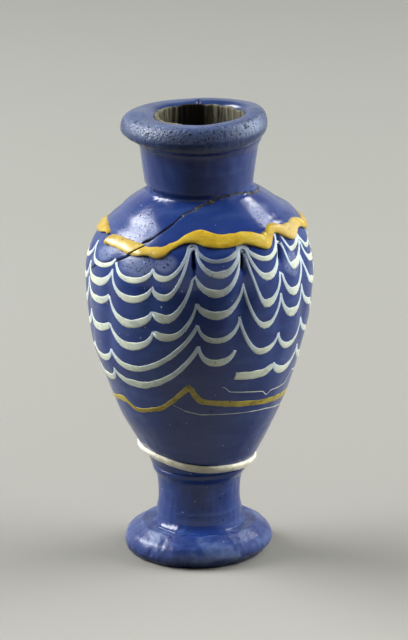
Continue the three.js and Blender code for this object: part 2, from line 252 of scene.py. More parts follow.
@dataclass
class VaseForm:
    """The sizes that the whole vase is built from, read from the frame's solids."""

    pad_top: float
    pad_radius: float
    body_base: float
    stem_top_radius: float
    belly_radius: float
    neck_base: float
    rim_seat: float
    rim_radius: float
    top: float
    belly_share: float = 0.594
    overhang: float = 0.3
    neck_base_radius: float = 11.7
    neck_top_radius: float = 13.2
    body_wall: float = 3.0
    neck_wall: float = 2.4
    floor_thickness: float = 3.6
    belly_fullness: float = 0.9
    shoulder_fullness: float = 2.55
    neck_fillet: float = 0.6
    flute_width: float = 2.2
    cleft_width: float = 0.55
    collar: float = 0.6
    untrue: tuple[tuple[float, float, float, float], ...] = (
        (20.0, 0.1, 0.0, -0.1),
        (21.5, 0.45, 0.0, -0.4),
        (26.0, 0.35, 0.0, -0.35),
        (33.0, 0.0, 0.0, -0.1),
        (40.0, 0.0, 0.0, -0.1),
        (48.0, -0.3, 0.0, 0.2),
        (56.0, 0.1, 0.0, 0.1),
        (66.0, 0.2, 0.0, 0.15),
        (71.0, 0.3, 0.1, 0.0),
        (74.0, 0.75, 0.35, 0.25),
        (76.0, 1.23, 0.6, 0.22),
        (78.0, 1.55, 0.6, 0.07),
        (79.5, 0.85, 0.6, -0.15),
        (83.0, 0.88, 0.5, -0.15),
        (85.0, -0.1, 0.0, -0.05),
        (96.0, -0.1, 0.0, -0.05),
    )

    @classmethod
    def from_frame(cls) -> VaseForm:
        """Returns the form with its main sizes taken from the solids' boxes."""

        def reach(node: str) -> tuple[float, float]:
            low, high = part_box(node)
            return max(-low[0], high[0], -low[1], high[1]) / MM, high[2] / MM

        pad_radius, pad_top = reach("foot_pad")
        stem_radius, stem_top = reach("stem")
        belly_radius, break_top = reach("body_sherd")
        _, rim_seat = reach("neck_sherd")
        rim_radius, top = reach("rim_coil")
        return cls(
            pad_top=pad_top,
            pad_radius=pad_radius,
            body_base=stem_top,
            stem_top_radius=stem_radius,
            belly_radius=belly_radius,
            neck_base=break_top,
            rim_seat=rim_seat,
            rim_radius=rim_radius,
            top=top,
        )

    @property
    def belly(self) -> float:
        """Returns the height where the body is widest."""
        return lerp(self.body_base, self.rim_seat, self.belly_share)

    def wall_radius(self, z: float) -> float:
        """Returns the outside radius of the wall at height z, before the flutes."""
        if z <= self.belly:
            rise = clamp((z - self.body_base) / (self.belly - self.body_base))
            full = math.sin(rise * math.pi / 2) ** self.belly_fullness
            return lerp(self.stem_top_radius + self.overhang, self.belly_radius, full)
        fall = ((z - self.belly) / (self.neck_base - self.belly)) ** self.shoulder_fullness
        shoulder = lerp(self.belly_radius, self.neck_base_radius, fall)
        up = (z - self.neck_base) / (self.rim_seat - self.neck_base)
        neck = lerp(self.neck_base_radius, self.neck_top_radius, up)
        return (shoulder + neck + math.hypot(shoulder - neck, self.neck_fillet)) / 2

    def nearest_stroke(self, azimuth: float, z: float) -> tuple[Stroke, float]:
        """Returns the nearest stroke and how many millimetres away it is."""

        def away(stroke: Stroke) -> float:
            return abs((azimuth - stroke.at(z, self.belly) + 180) % 360 - 180)

        stroke = min(STROKES, key=away)
        return stroke, away(stroke) * math.radians(self.wall_radius(z))

    def cleft(self, azimuth: float, z: float) -> float:
        """Returns how deep the slits at the tops of the strongest strokes are."""
        stroke, distance = self.nearest_stroke(azimuth, z)
        crest = stroke.peaks[0]
        along = smooth(z, crest - 6.5, crest - 3.5) * smooth(crest - z, 0.4, 1.8)
        width = self.cleft_width * lerp(0.5, 1, smooth(crest - z, 1, 5))
        return stroke.cleft * along * math.exp(-((distance / width) ** 2))

    def flute(self, azimuth: float, z: float) -> float:
        """Returns how deep the strokes' furrows are at a place on the wall."""
        stroke, distance = self.nearest_stroke(azimuth, z)
        lowest, highest = stroke.peaks[-1], stroke.peaks[0]
        along = smooth(z, lowest - 5, lowest + 10) * smooth(highest + 5 - z, 0, 8)
        return stroke.flute * along * math.exp(-((distance / self.flute_width) ** 2))

    def wander(self, azimuth: float, z: float) -> float:
        """Returns how far the wall is out of true, because its sections don't share one axis.

        Each row of untrue gives a height, how far the section there lies to the right and
        to the back, and how much wider it is.
        """
        for low, high in zip(self.untrue, self.untrue[1:]):
            if z <= high[0]:
                break
        share = smooth(z, low[0], high[0])
        right, back, wider = (lerp(a, b, share) for a, b in zip(low[1:], high[1:]))
        angle = math.radians(azimuth)
        return wider + right * math.sin(angle) - back * math.cos(angle)

    def skin(self, azimuth: float, z: float) -> float:
        """Returns the radius of the wall's surface, with furrows and hand-made unevenness."""
        swell = 0.10 * ripple(azimuth, z, 14, 3.1) + 0.03 * ripple(azimuth, z, 3.5, 8.7)
        swell += self.wander(azimuth, z)
        swell += self.collar * smooth(z, self.rim_seat - 2.2, self.rim_seat + 0.6) ** 2
        swell -= self.overhang * (1 - smooth(z, self.body_base, self.body_base + 1.2))
        if self.belly - 25 < z < self.neck_base:
            swell -= self.flute(azimuth, z) + self.cleft(azimuth, z)
        return self.wall_radius(z) + swell

    def gathered(self, azimuth: float, z: float) -> float:
        """Returns an azimuth drawn towards the nearest slit, so that columns crowd there."""
        stroke, _ = self.nearest_stroke(azimuth, z)
        if not stroke.cleft:
            return azimuth
        away = (azimuth - stroke.at(z, self.belly) + 180) % 360 - 180
        return azimuth - 0.7 * away * math.exp(-((away / 5) ** 2))


@dataclass(frozen=True)
class Break:
    """The line of the break round the vase, through places seen on the front."""

    gap: float = 0.14
    open_gap: float = 0.34
    knots: tuple[tuple[float, float], ...] = (
        (-190, 82.9),
        (-150, 76.0),
        (-118, 68.4),
        (-95, 65.6),
        (-78, 66.2),
        (-68, 68.2),
        (-62, 69.5),
        (-50, 70.9),
        (-44, 72.1),
        (-38.5, 73.7),
        (-37.2, 74.7),
        (-36, 75.4),
        (-32, 76.2),
        (-25, 78.3),
        (-17, 80.2),
        (-10, 81.5),
        (-2, 82.3),
        (12, 83.3),
        (24, 84.1),
        (40, 84.5),
        (57, 83.9),
        (80, 83.1),
        (170, 82.9),
    )

    def height(self, azimuth: float) -> float:
        """Returns the height of the break, jagged as broken glass is."""
        azimuth = (azimuth + 190) % 360 - 190
        for (a, low), (b, high) in zip(self.knots, self.knots[1:]):
            if a <= azimuth <= b:
                line = lerp(low, high, (azimuth - a) / (b - a))
                jag = 0.16 * ripple(azimuth, 0, 5, 1.7) + 0.10 * ripple(azimuth, 0, 1.6, 6.2)
                return line + jag
        return self.knots[0][1]

    def half_gap(self, azimuth: float) -> float:
        """Returns half the width of the crack, which stands open on the left of the front."""
        azimuth = (azimuth + 190) % 360 - 190
        opened = smooth(azimuth, -100, -70) * smooth(-azimuth, 8, 26)
        worn = 1 + 0.4 * ripple(azimuth, 0, 3, 15.0)
        return lerp(self.gap, self.open_gap, opened) * worn / 2


def srgb(hex_colour: str) -> tuple[float, float, float, float]:
    """Returns the linear colour of an sRGB hex value."""

    def linear(channel: int) -> float:
        value = channel / 255
        return value / 12.92 if value <= 0.04045 else ((value + 0.055) / 1.055) ** 2.4

    red, green, blue = (int(hex_colour[i : i + 2], 16) for i in (1, 3, 5))
    return (linear(red), linear(green), linear(blue), 1.0)


def add_node(
    tree: bpy.types.NodeTree,
    kind: str,
    settings: dict[str | int, object] | None = None,
    links: dict[str | int, bpy.types.NodeSocket] | None = None,
) -> bpy.types.Node:
    """Adds a node to a tree.

    Args:
        tree: the material's node tree.
        kind: the node's type name.
        settings: values for the node's properties, or for its sockets by name or number.
        links: the output that each named or numbered socket takes its value from.

    Returns:
        The new node.
    """
    node = tree.nodes.new(kind)
    for key, value in (settings or {}).items():
        if isinstance(key, str) and hasattr(node, key):
            setattr(node, key, value)
        else:
            node.inputs[key].default_value = value
    for key, source in (links or {}).items():
        tree.links.new(source, node.inputs[key])
    return node


def per_mm(size: float) -> float:
    """Returns the texture scale at which one cell of a pattern is size millimetres wide."""
    return 1 / (size * MM)


@dataclass(frozen=True)
class GlassFinish:
    """Opaque core-formed glass: coloured with metal oxides, trailed on hot and rolled smooth.

    It is glossy but not clear. Burial has left fine pits, specks of pale crust in
    them, and a surface that is duller in patches.
    """

    name: str
    colour: str
    shade: str
    pale: str
    speck: str
    # The colour of dark pits, and also of the painted shade that an attribute lays on a piece
    pit_and_shade_colour: str
    roughness: float
    patch: float = 9.0
    stretch: float = 3.0
    speck_size: float = 1.1
    speck_share: float = 0.14
    pit_depth: float = 0.14
    grain: float = 0.02
    ripple_depth: float = 0.08
    etching: float = 0.16
    dulling: float = 0.03
    bloom: float = 0.0
    drawn: str = ""
    tint_and_painted_light_colour: str = ""

    def material(self) -> bpy.types.Material:
        """Returns the node material of this glass."""
        made = bpy.data.materials.new(self.name)
        made.use_nodes = True
        tree = made.node_tree
        tree.nodes.clear()
        coords = add_node(tree, "ShaderNodeTexCoord").outputs["Object"]
        wound = add_node(
            tree, "ShaderNodeMapping", {"Scale": (1, 1, self.stretch)}, {"Vector": coords}
        ).outputs["Vector"]
        streaks = add_node(
            tree,
            "ShaderNodeTexNoise",
            {"Scale": per_mm(self.patch), "Detail": 6.0, "Roughness": 0.6, "Distortion": 0.6},
            {"Vector": wound},
        ).outputs["Fac"]
        fine = add_node(
            tree,
            "ShaderNodeTexNoise",
            {"Scale": per_mm(0.9), "Detail": 4.0, "Roughness": 0.7},
            {"Vector": coords},
        ).outputs["Fac"]
        grit = add_node(
            tree,
            "ShaderNodeTexNoise",
            {"Scale": per_mm(0.5), "Detail": 2.0, "Roughness": 0.6},
            {"Vector": coords},
        ).outputs["Fac"]
        ramp = add_node(tree, "ShaderNodeValToRGB", {}, {"Fac": streaks})
        ramp.color_ramp.elements[0].position = 0.32
        ramp.color_ramp.elements[0].color = srgb(self.shade)
        ramp.color_ramp.elements[1].position = 0.72
        ramp.color_ramp.elements[1].color = srgb(self.pale)
        middle = ramp.color_ramp.elements.new(0.52)
        middle.color = srgb(self.colour)
        drawn = add_node(tree, "ShaderNodeAttribute", {"attribute_name": "drawn"}).outputs["Fac"]
        # A tint mixed in by an attribute: on the white and foot threads real colour with painted shade at
        # the front, on the yellow thread and the rim a painted sheen
        tint_and_painted_light = add_node(tree, "ShaderNodeAttribute", {"attribute_name": "tint_and_painted_light"}).outputs["Fac"]
        worn = add_node(tree, "ShaderNodeAttribute", {"attribute_name": "worn"}).outputs["Fac"]
        weathered = add_node(
            tree, "ShaderNodeMath", {"operation": "MULTIPLY", 1: self.bloom}, {0: worn}
        ).outputs["Value"]
        glass = ramp.outputs["Color"]
        for share, over in (
            (drawn, self.drawn or self.colour),
            (tint_and_painted_light, self.tint_and_painted_light_colour or self.colour),
            (weathered, self.speck),
        ):
            glass = add_node(
                tree, "ShaderNodeMix", {"data_type": "RGBA", 7: srgb(over)}, {0: share, 6: glass}
            ).outputs[2]

        cells = add_node(
            tree,
            "ShaderNodeTexVoronoi",
            {"Scale": per_mm(self.speck_size), "Randomness": 1.0},
            {"Vector": coords},
        )
        random = add_node(
            tree, "ShaderNodeSeparateColor", {}, {"Color": cells.outputs["Color"]}
        ).outputs
        # Painted shade, read from an attribute: in the slits, the rim's notch and pits, and under the pad's
        # edge
        painted_shade = add_node(tree, "ShaderNodeAttribute", {"attribute_name": "painted_shade"}).outputs["Fac"]
        chosen = add_node(
            tree,
            "ShaderNodeMath",
            {"operation": "MULTIPLY_ADD", 1: 0.15},
            {0: worn, 2: random["Red"]},
        ).outputs["Value"]
        filled = add_node(
            tree,
            "ShaderNodeMapRange",
            {"From Min": 0.6, "From Max": 0.65},
            {"Value": random["Green"]},
        ).outputs["Result"]
        fill = add_node(
            tree,
            "ShaderNodeMix",
            {"data_type": "RGBA", 6: srgb(self.pit_and_shade_colour), 7: srgb(self.speck)},
            {0: filled},
        ).outputs[2]
        few = add_node(
            tree,
            "ShaderNodeMapRange",
            {"From Min": 1 - self.speck_share, "From Max": 1.0, "To Min": 0.0, "To Max": 0.30},
            {"Value": chosen},
        ).outputs["Result"]
        inside = add_node(
            tree,
            "ShaderNodeMath",
            {"operation": "SUBTRACT", "use_clamp": True},
            {0: few, 1: cells.outputs["Distance"]},
        ).outputs["Value"]
        pits = add_node(
            tree,
            "ShaderNodeMapRange",
            {"From Min": 0.0, "From Max": 0.12, "To Min": 0.0, "To Max": 1.0},
            {"Value": inside},
        ).outputs["Result"]
        specked = add_node(
            tree, "ShaderNodeMix", {"data_type": "RGBA"}, {0: pits, 6: glass, 7: fill}
        ).outputs[2]
        pocks = add_node(
            tree, "ShaderNodeMapRange", {"From Min": 0.6, "From Max": 0.66}, {"Value": grit}
        ).outputs["Result"]
        eaten = add_node(
            tree, "ShaderNodeMath", {"operation": "MULTIPLY"}, {0: worn, 1: pocks}
        ).outputs["Value"]
        # The painted shade and the worn pocks darken the colour towards the pit colour and dim the gloss
        sunk = add_node(
            tree, "ShaderNodeMath", {"operation": "MAXIMUM"}, {0: painted_shade, 1: eaten}
        ).outputs["Value"]
        coloured = add_node(
            tree,
            "ShaderNodeMix",
            {"data_type": "RGBA", 7: srgb(self.pit_and_shade_colour)},
            {0: sunk, 6: specked},
        ).outputs[2]
        hollow = add_node(
            tree, "ShaderNodeMath", {"operation": "MAXIMUM"}, {0: sunk, 1: pits}
        ).outputs["Value"]
        gloss = add_node(
            tree, "ShaderNodeMapRange", {"To Min": 0.5, "To Max": 0.05}, {"Value": hollow}
        ).outputs["Result"]

        dull = add_node(
            tree,
            "ShaderNodeMapRange",
            {
                "From Min": 0.3,
                "From Max": 0.75,
                "To Min": self.roughness - 0.05,
                "To Max": self.roughness + 0.08,
            },
            {"Value": streaks},
        ).outputs["Result"]
        duller = add_node(
            tree, "ShaderNodeMath", {"operation": "MULTIPLY_ADD", 1: self.dulling}, {0: worn, 2: dull}
        ).outputs["Value"]
        hollows = add_node(
            tree,
            "ShaderNodeBump",
            {"Strength": 1.0, "Distance": self.pit_depth * MM, "invert": True},
            {"Height": pits},
        ).outputs["Normal"]
        grain = add_node(
            tree,
            "ShaderNodeBump",
            {"Strength": 1.0, "Distance": self.grain * MM},
            {"Height": fine, "Normal": hollows},
        ).outputs["Normal"]
        etched = add_node(
            tree,
            "ShaderNodeBump",
            {"Distance": self.etching * MM},
            {"Height": grit, "Strength": worn, "Normal": grain},
        ).outputs["Normal"]
        waves = add_node(
            tree,
            "ShaderNodeBump",
            {"Strength": 1.0, "Distance": self.ripple_depth * MM},
            {"Height": streaks, "Normal": etched},
        ).outputs["Normal"]
        shader = add_node(
            tree,
            "ShaderNodeBsdfPrincipled",
            {"IOR": 1.52},
            {
                "Base Color": coloured,
                "Roughness": duller,
                "Specular IOR Level": gloss,
                "Normal": waves,
            },
        ).outputs["BSDF"]
        add_node(tree, "ShaderNodeOutputMaterial", {}, {"Surface": shader})
        return made


@dataclass(frozen=True)
class CrustFinish:
    """The sandy core's crust on the inside: dry, grainy, and scored downwards by scraping."""

    name: str
    colour: str
    shade: str
    pale: str
    painted_bore_shade: str

    def material(self) -> bpy.types.Material:
        """Returns the node material of the crust."""
        made = bpy.data.materials.new(self.name)
        made.use_nodes = True
        tree = made.node_tree
        tree.nodes.clear()
        coords = add_node(tree, "ShaderNodeTexCoord").outputs["Object"]
        scored = add_node(
            tree, "ShaderNodeMapping", {"Scale": (1, 1, 0.16)}, {"Vector": coords}
        ).outputs["Vector"]
        scores = add_node(
            tree,
            "ShaderNodeTexNoise",
            {"Scale": per_mm(1.1), "Detail": 5.0, "Roughness": 0.65},
            {"Vector": scored},
        ).outputs["Fac"]
        sand = add_node(
            tree,
            "ShaderNodeTexNoise",
            {"Scale": per_mm(0.4), "Detail": 3.0, "Roughness": 0.7},
            {"Vector": coords},
        ).outputs["Fac"]
        ramp = add_node(tree, "ShaderNodeValToRGB", {}, {"Fac": scores})
        ramp.color_ramp.elements[0].position = 0.34
        ramp.color_ramp.elements[0].color = srgb(self.shade)
        ramp.color_ramp.elements[1].position = 0.7
        ramp.color_ramp.elements[1].color = srgb(self.pale)
        ramp.color_ramp.elements.new(0.5).color = srgb(self.colour)
        # Painted shade on the back of the bore, read from an attribute
        painted_bore_shade = add_node(tree, "ShaderNodeAttribute", {"attribute_name": "painted_bore_shade"}).outputs["Fac"]
        bore_shaded = add_node(
            tree,
            "ShaderNodeMix",
            {"data_type": "RGBA", 7: srgb(self.painted_bore_shade)},
            {0: painted_bore_shade, 6: ramp.outputs["Color"]},
        ).outputs[2]
        rough = add_node(
            tree,
            "ShaderNodeBump",
            {"Strength": 1.0, "Distance": 0.10 * MM},
            {"Height": sand},
        ).outputs["Normal"]
        scraped = add_node(
            tree,
            "ShaderNodeBump",
            {"Strength": 1.0, "Distance": 0.35 * MM},
            {"Height": scores, "Normal": rough},
        ).outputs["Normal"]
        shader = add_node(
            tree,
            "ShaderNodeBsdfPrincipled",
            {"Roughness": 0.85, "IOR": 1.45, "Specular IOR Level": 0.3},
            {"Base Color": bore_shaded, "Normal": scraped},
        ).outputs["BSDF"]
        add_node(tree, "ShaderNodeOutputMaterial", {}, {"Surface": shader})
        return made


# Cobalt gives the wall its deep blue, and light shows its winding as faint streaks
COBALT_GLASS = GlassFinish(
    name="cobalt_core_formed_glass",
    colour="#1b3169",
    shade="#172a63",
    pale="#273e71",
    speck="#8d99b8",
    pit_and_shade_colour="#0b0f1f",
    roughness=0.20,
    speck_size=0.9,
    etching=0.05,
    dulling=0.06,
    bloom=0.3,
)
# The same glass on the rim is worn and covered with fine pits, which dulls its gloss. Its pale tint colour
# paints a sheen on the roll, most on the right.
PITTED_COBALT = replace(
    COBALT_GLASS,
    name="cobalt_glass_pitted",
    colour="#1f2f55",
    shade="#19294f",
    pale="#304062",
    pit_and_shade_colour="#0f121a",
    roughness=0.22,
    dulling=0.1,
    speck_size=0.7,
    speck_share=0.06,
    pit_depth=0.2,
    grain=0.03,
    etching=0.25,
    bloom=0.08,
    tint_and_painted_light_colour="#8e9bb0",
)
# The foot was pressed from a lump, and paler glass swirls through it
SWIRLED_COBALT = replace(
    COBALT_GLASS,
    name="cobalt_glass_swirled",
    colour="#24366a",
    shade="#1a2a5e",
    pale="#53668c",
    roughness=0.28,
    patch=6.0,
    stretch=1.0,
    speck_share=0.22,
    grain=0.07,
    ripple_depth=0.25,
)
# Antimony and lead give an opaque warm yellow, with brown pits. Its pale tint is a painted sheen on the left
# and right of the shoulder thread.
OCHRE_GLASS = GlassFinish(
    name="ochre_thread_glass",
    colour="#a88c20",
    shade="#92761a",
    pale="#b6a243",
    tint_and_painted_light_colour="#d6c69c",
    speck="#8a6426",
    pit_and_shade_colour="#33200f",
    roughness=0.22,
    patch=4.0,
    stretch=2.0,
    speck_size=0.75,
    speck_share=0.2,
    pit_depth=0.2,
    ripple_depth=0.15,
)
# The same yellow rolled thin over blue looks greener
MUSTARD_GLASS = replace(
    OCHRE_GLASS,
    name="mustard_thread_glass",
    tint_and_painted_light_colour="",
    colour="#98882a",
    shade="#77681f",
    pale="#b3a33a",
    speck="#6b4a24",
    roughness=0.28,
)
# White glass that weathered to a pale yellow green, and looks bluer where it is drawn thin. Its blue tint is
# the wall showing through the thin threads at the front, and painted shade there.
CELADON_GLASS = replace(
    OCHRE_GLASS,
    name="grey_white_thread_glass",
    colour="#bcc3b0",
    shade="#a5aea3",
    pale="#c9cdb4",
    drawn="#b1bfcc",
    tint_and_painted_light_colour="#2c3f6c",
    speck="#8c7448",
    pit_and_shade_colour="#4d4430",
    roughness=0.28,
    speck_size=0.7,
    speck_share=0.16,
    pit_depth=0.1,
)
# The thick thread is a warmer white, with brown earth in its pits. Its brown tint, laid on the front of the
# foot thread, is earth and painted shade.
IVORY_GLASS = replace(
    CELADON_GLASS,
    name="ivory_thread_glass",
    colour="#e6e3cf",
    shade="#c9bf9c",
    pale="#f2f0e0",
    drawn="",
    tint_and_painted_light_colour="#837a54",
    speck="#8f6f45",
    pit_and_shade_colour="#5a4028",
    roughness=0.16,
    patch=2.5,
    speck_share=0.2,
)
# Old glue in the open crack. Its near-black colour is painted shade for the depth of the crack.
GLUE_IN_PAINTED_SHADE = GlassFinish(
    name="aged_glue_in_shadow",
    colour="#1f1a16",
    shade="#120f0d",
    pale="#3d3022",
    speck="#4a3a24",
    pit_and_shade_colour="#0c0a08",
    roughness=0.55,
    patch=2.0,
    stretch=1.0,
)
# The same glue smeared over the surface, with pale dust in it
PALE_GLUE = replace(
    GLUE_IN_PAINTED_SHADE,
    name="aged_glue_smear",
    colour="#37342f",
    shade="#1d1e22",
    pale="#6f684f",
    speck="#8d8566",
    speck_share=0.3,
    speck_size=0.5,
    patch=1.2,
)
# Core material: sand and clay bound together, grey brown and dry. The last colour is painted shade, laid on
# the back of the bore.
CORE_CRUST = CrustFinish("sandy_core_crust", "#5c5a4b", "#33312a", "#737060", "#12100e")


class Slot(Enum):
    """The record's material slots."""

    BLUE = "blue_glass"
    YELLOW = "yellow_glass"
    WHITE = "white_glass"
    CRUST = "core_residue"


def settle(
    piece: bpy.types.Object,
    name: str,
    finish: GlassFinish | CrustFinish,
    slot: Slot,
    nodes: tuple[str, ...] = (),
) -> bpy.types.Object:
    """Names a finished piece, dresses it, hangs it on the root empty, and hides the solids that it replaces.

    Args:
        piece: the new object.
        name: the piece's name.
        finish: what it is made of.
        slot: the record's material slot; not used.
        nodes: the solids that it replaces.

    Returns:
        The same object.
    """
    piece.name = name
    piece.data.name = name
    material = bpy.data.materials.get(finish.name) or finish.material()
    piece.data.materials.clear()
    piece.data.materials.append(material)
    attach(piece, "root")
    if nodes:
        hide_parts(*nodes)
    log.info("%s: %d faces of %s", name, len(piece.data.polygons), finish.name)
    return piece


def clear_selection() -> None:
    """Leaves nothing selected, so that an operator acts only on the next primitive."""
    bpy.ops.object.select_all(action="DESELECT")


def close_up(piece: bpy.types.Object) -> None:
    """Merges a piece's doubled points, turns its faces outwards and shades it smooth."""
    bpy.ops.object.mode_set(mode="EDIT")
    bpy.ops.mesh.select_all(action="SELECT")
    bpy.ops.mesh.remove_doubles(threshold=0.002 * MM)
    bpy.ops.mesh.normals_make_consistent(inside=False)
    bpy.ops.object.mode_set(mode="OBJECT")
    bpy.ops.object.shade_smooth()
    bpy.ops.object.transform_apply(location=True, rotation=True, scale=True)


def turned(profile: list[tuple[float, float]], columns: int) -> bpy.types.Object:
    """Spins a profile round the vase's axis.

    Args:
        profile: radius and height of each point, from one end on the axis to the other.
        columns: how many steps the turn takes.

    Returns:
        The closed object, selected and active.
    """
    clear_selection()
    bpy.ops.mesh.primitive_plane_add(size=MM, location=(0, 0, 0))
    piece = bpy.context.object
    bpy.ops.object.mode_set(mode="EDIT")
    bpy.ops.mesh.select_mode(type="VERT")
    bpy.ops.mesh.select_all(action="SELECT")
    bpy.ops.mesh.merge(type="CENTER")
    here = Vector((0, 0, 0))
    radius, z = profile[0]
    there = Vector((radius * MM, 0, z * MM))
    bpy.ops.transform.translate(value=there - here)
    for radius, z in profile[1:]:
        here, there = there, Vector((radius * MM, 0, z * MM))
        bpy.ops.mesh.extrude_vertices_move(TRANSFORM_OT_translate={"value": there - here})
    bpy.ops.mesh.select_all(action="SELECT")
    bpy.ops.mesh.spin(steps=columns, angle=2 * math.pi, center=(0, 0, 0), axis=(0, 0, 1))
    bpy.ops.object.mode_set(mode="OBJECT")
    close_up(piece)
    return piece


def reshape(piece: bpy.types.Object, shape: Shape) -> None:
    """Moves each point of a turned piece, as hands move soft glass.

    Args:
        piece: the object.
        shape: gives the new place in metres from a point's radius, azimuth and height.
    """
    for vertex in piece.data.vertices:
        x, y, z = vertex.co
        azimuth = math.degrees(math.atan2(x, -y)) if math.hypot(x, y) > 1e-7 else 0.0
        vertex.co = shape(math.hypot(x, y) / MM, azimuth, z / MM)
    piece.data.update()


def paint(piece: bpy.types.Object, name: str, value: Callable[[float, float, float], float]) -> None:
    """Gives a piece an attribute that its finish reads.

    Args:
        piece: the object.
        name: the attribute's name.
        value: gives it from a point's radius, azimuth and height.
    """
    attribute = piece.data.attributes.new(name, "FLOAT", "POINT")
    for vertex, slot in zip(piece.data.vertices, attribute.data):
        x, y, z = vertex.co / MM
        slot.value = value(math.hypot(x, y), math.degrees(math.atan2(x, -y)), z)


def dent(piece: bpy.types.Object, spot: Point, size: float, depth: float) -> None:
    """Pushes a round pit into a piece's surface.

    Args:
        piece: the object.
        spot: a point near the surface, in metres; the pit is at the nearest point of it.
        size: the pit's radius in millimetres.
        depth: its depth in millimetres.
    """
    nearest = min(piece.data.vertices, key=lambda vertex: (vertex.co - Vector(spot)).length)
    centre, inwards = nearest.co.copy(), -nearest.normal
    for vertex in piece.data.vertices:
        away = (vertex.co - centre).length / (size * MM)
        if away < 1:
            vertex.co += inwards * depth * MM * (1 - away**2) ** 2
    piece.data.update()


def steps(start: float, end: float, spacing: float) -> list[float]:
    """Returns evenly spaced values from start to end, about a spacing apart."""
    count = max(1, round(abs(end - start) / spacing))
    return [lerp(start, end, i / count) for i in range(count + 1)]


# Places where burial ate into the surface most: azimuth and height, and how far each reaches
WORN_PATCHES = (
    (-42, 77.6, 14, 2.6),
    (-38, 70.8, 10, 2.4),
    (-17, 72.4, 5, 1.8),
    (-62, 71.5, 8, 2.0),
    (52, 80.0, 9, 1.5),
    (57, 70.0, 6, 2.0),
)


def worn(radius: float, azimuth: float, z: float) -> float:
    """Returns how worn the wall is at a place, from 0 to 1."""
    total = 0.0
    for middle, height, around, up in WORN_PATCHES:
        away = math.hypot((azimuth - middle) / around, (z - height) / up)
        total = max(total, 1 - smooth(away + 0.35 * ripple(azimuth, z, 4, 12.0), 0.7, 1.25))
    return total


@dataclass
class Wall:
    """The glass wall, in the two sherds that the break left."""

    form: VaseForm
    crack: Break
    columns: int = 480
    spacing: float = 0.38

    def _profile(self, low: float, high: float, wall: float) -> list[tuple[float, float]]:
        """Returns the closed section of one sherd, up the outside and down the inside."""
        radius = self.form.wall_radius
        outside = [(radius(z), z) for z in steps(low, high, self.spacing)]
        inside = [(radius(z) - wall, z) for z in steps(high, low, 4 * self.spacing)]
        return outside + inside

    def body(self) -> bpy.types.Object:
        """Builds the sherd below the break, with its hollow."""
        form = self.form
        low, high = form.body_base, form.neck_base
        section = self._profile(low, high, form.body_wall)
        floor = low + form.floor_thickness
        hollow = [(radius, z) for radius, z in section[1:] if z > floor or radius > form.wall_radius(z) - 1]
        under = [(0.0, low), (0.6 * form.stem_top_radius, low), section[0]]
        bottom = [(form.wall_radius(floor) - form.body_wall, floor), (0.0, floor)]
        piece = turned(under + hollow + bottom, self.columns)
        hinge = form.belly - 6

        def shape(radius: float, azimuth: float, z: float) -> Point:
            depth = form.wall_radius(z) - radius
            if z > hinge:
                edge = self.crack.height(azimuth) - self.crack.half_gap(azimuth)
                z = lerp(hinge, edge, (z - hinge) / (high - hinge))
            if depth < 0.5:
                azimuth = form.gathered(azimuth, z)
                return place(form.skin(azimuth, z) - depth, azimuth, z)
            return place(form.wall_radius(z) - depth, azimuth, z)

        reshape(piece, shape)
        # Painted shade in the slits at the tops of the strongest strokes
        paint(piece, "painted_shade", lambda radius, azimuth, z: smooth(form.cleft(azimuth, z), 0.25, 0.8))
        paint(piece, "worn", worn)
        return settle(piece, "body_wall", COBALT_GLASS, Slot.BLUE, ("body_sherd",))

    def neck(self) -> bpy.types.Object:
        """Builds the sherd above the break, up into the rim."""
        form = self.form
        low, high = form.neck_base, form.rim_seat + 2.6
        section = self._profile(low, high, form.neck_wall)
        piece = turned([*section, section[0]], self.columns - 120)

        def shape(radius: float, azimuth: float, z: float) -> Point:
            depth = form.wall_radius(z) - radius
            edge = self.crack.height(azimuth) + self.crack.half_gap(azimuth)
            z = lerp(edge, high, (z - low) / (high - low))
            if depth < 0.5:
                return place(form.skin(azimuth, z) - depth, azimuth, z)
            return place(form.wall_radius(z) - depth, azimuth, z)

        reshape(piece, shape)
        paint(piece, "worn", worn)
        return settle(piece, "neck_wall", COBALT_GLASS, Slot.BLUE, ("neck_sherd",))

    def glue(self) -> None:
        """Lays the glue in the break: sunk where the crack is open, smeared on at the right."""
        # The sunk glue's near-black colour is painted shade of the open crack
        sunk = Thread(
            name="glue_in_crack",
            height=self.crack.height,
            width=2.4 * self.crack.open_gap,
            proud=-0.35,
            depth=1.2,
            unevenness=0.0,
            span=(-200, -8),
        )
        sunk.build(self.form, GLUE_IN_PAINTED_SHADE, Slot.CRUST)
        smeared = Thread(
            name="glue_on_neck",
            height=self.crack.height,
            width=0.34,
            proud=0.02,
            depth=0.6,
            unevenness=0.9,
            span=(-14, 162),
        )
        smeared.build(self.form, PALE_GLUE, Slot.CRUST)


@dataclass(frozen=True)
class Section:
    """One cross-section of a thread: its middle, its half width and height, and how it lies.

    around and up say how many degrees and millimetres a millimetre across the thread
    spans, and steep how far it was drawn up, from 0 to 1.
    """

    azimuth: float
    z: float
    half: float
    rise: float
    around: float
    up: float
    steep: float


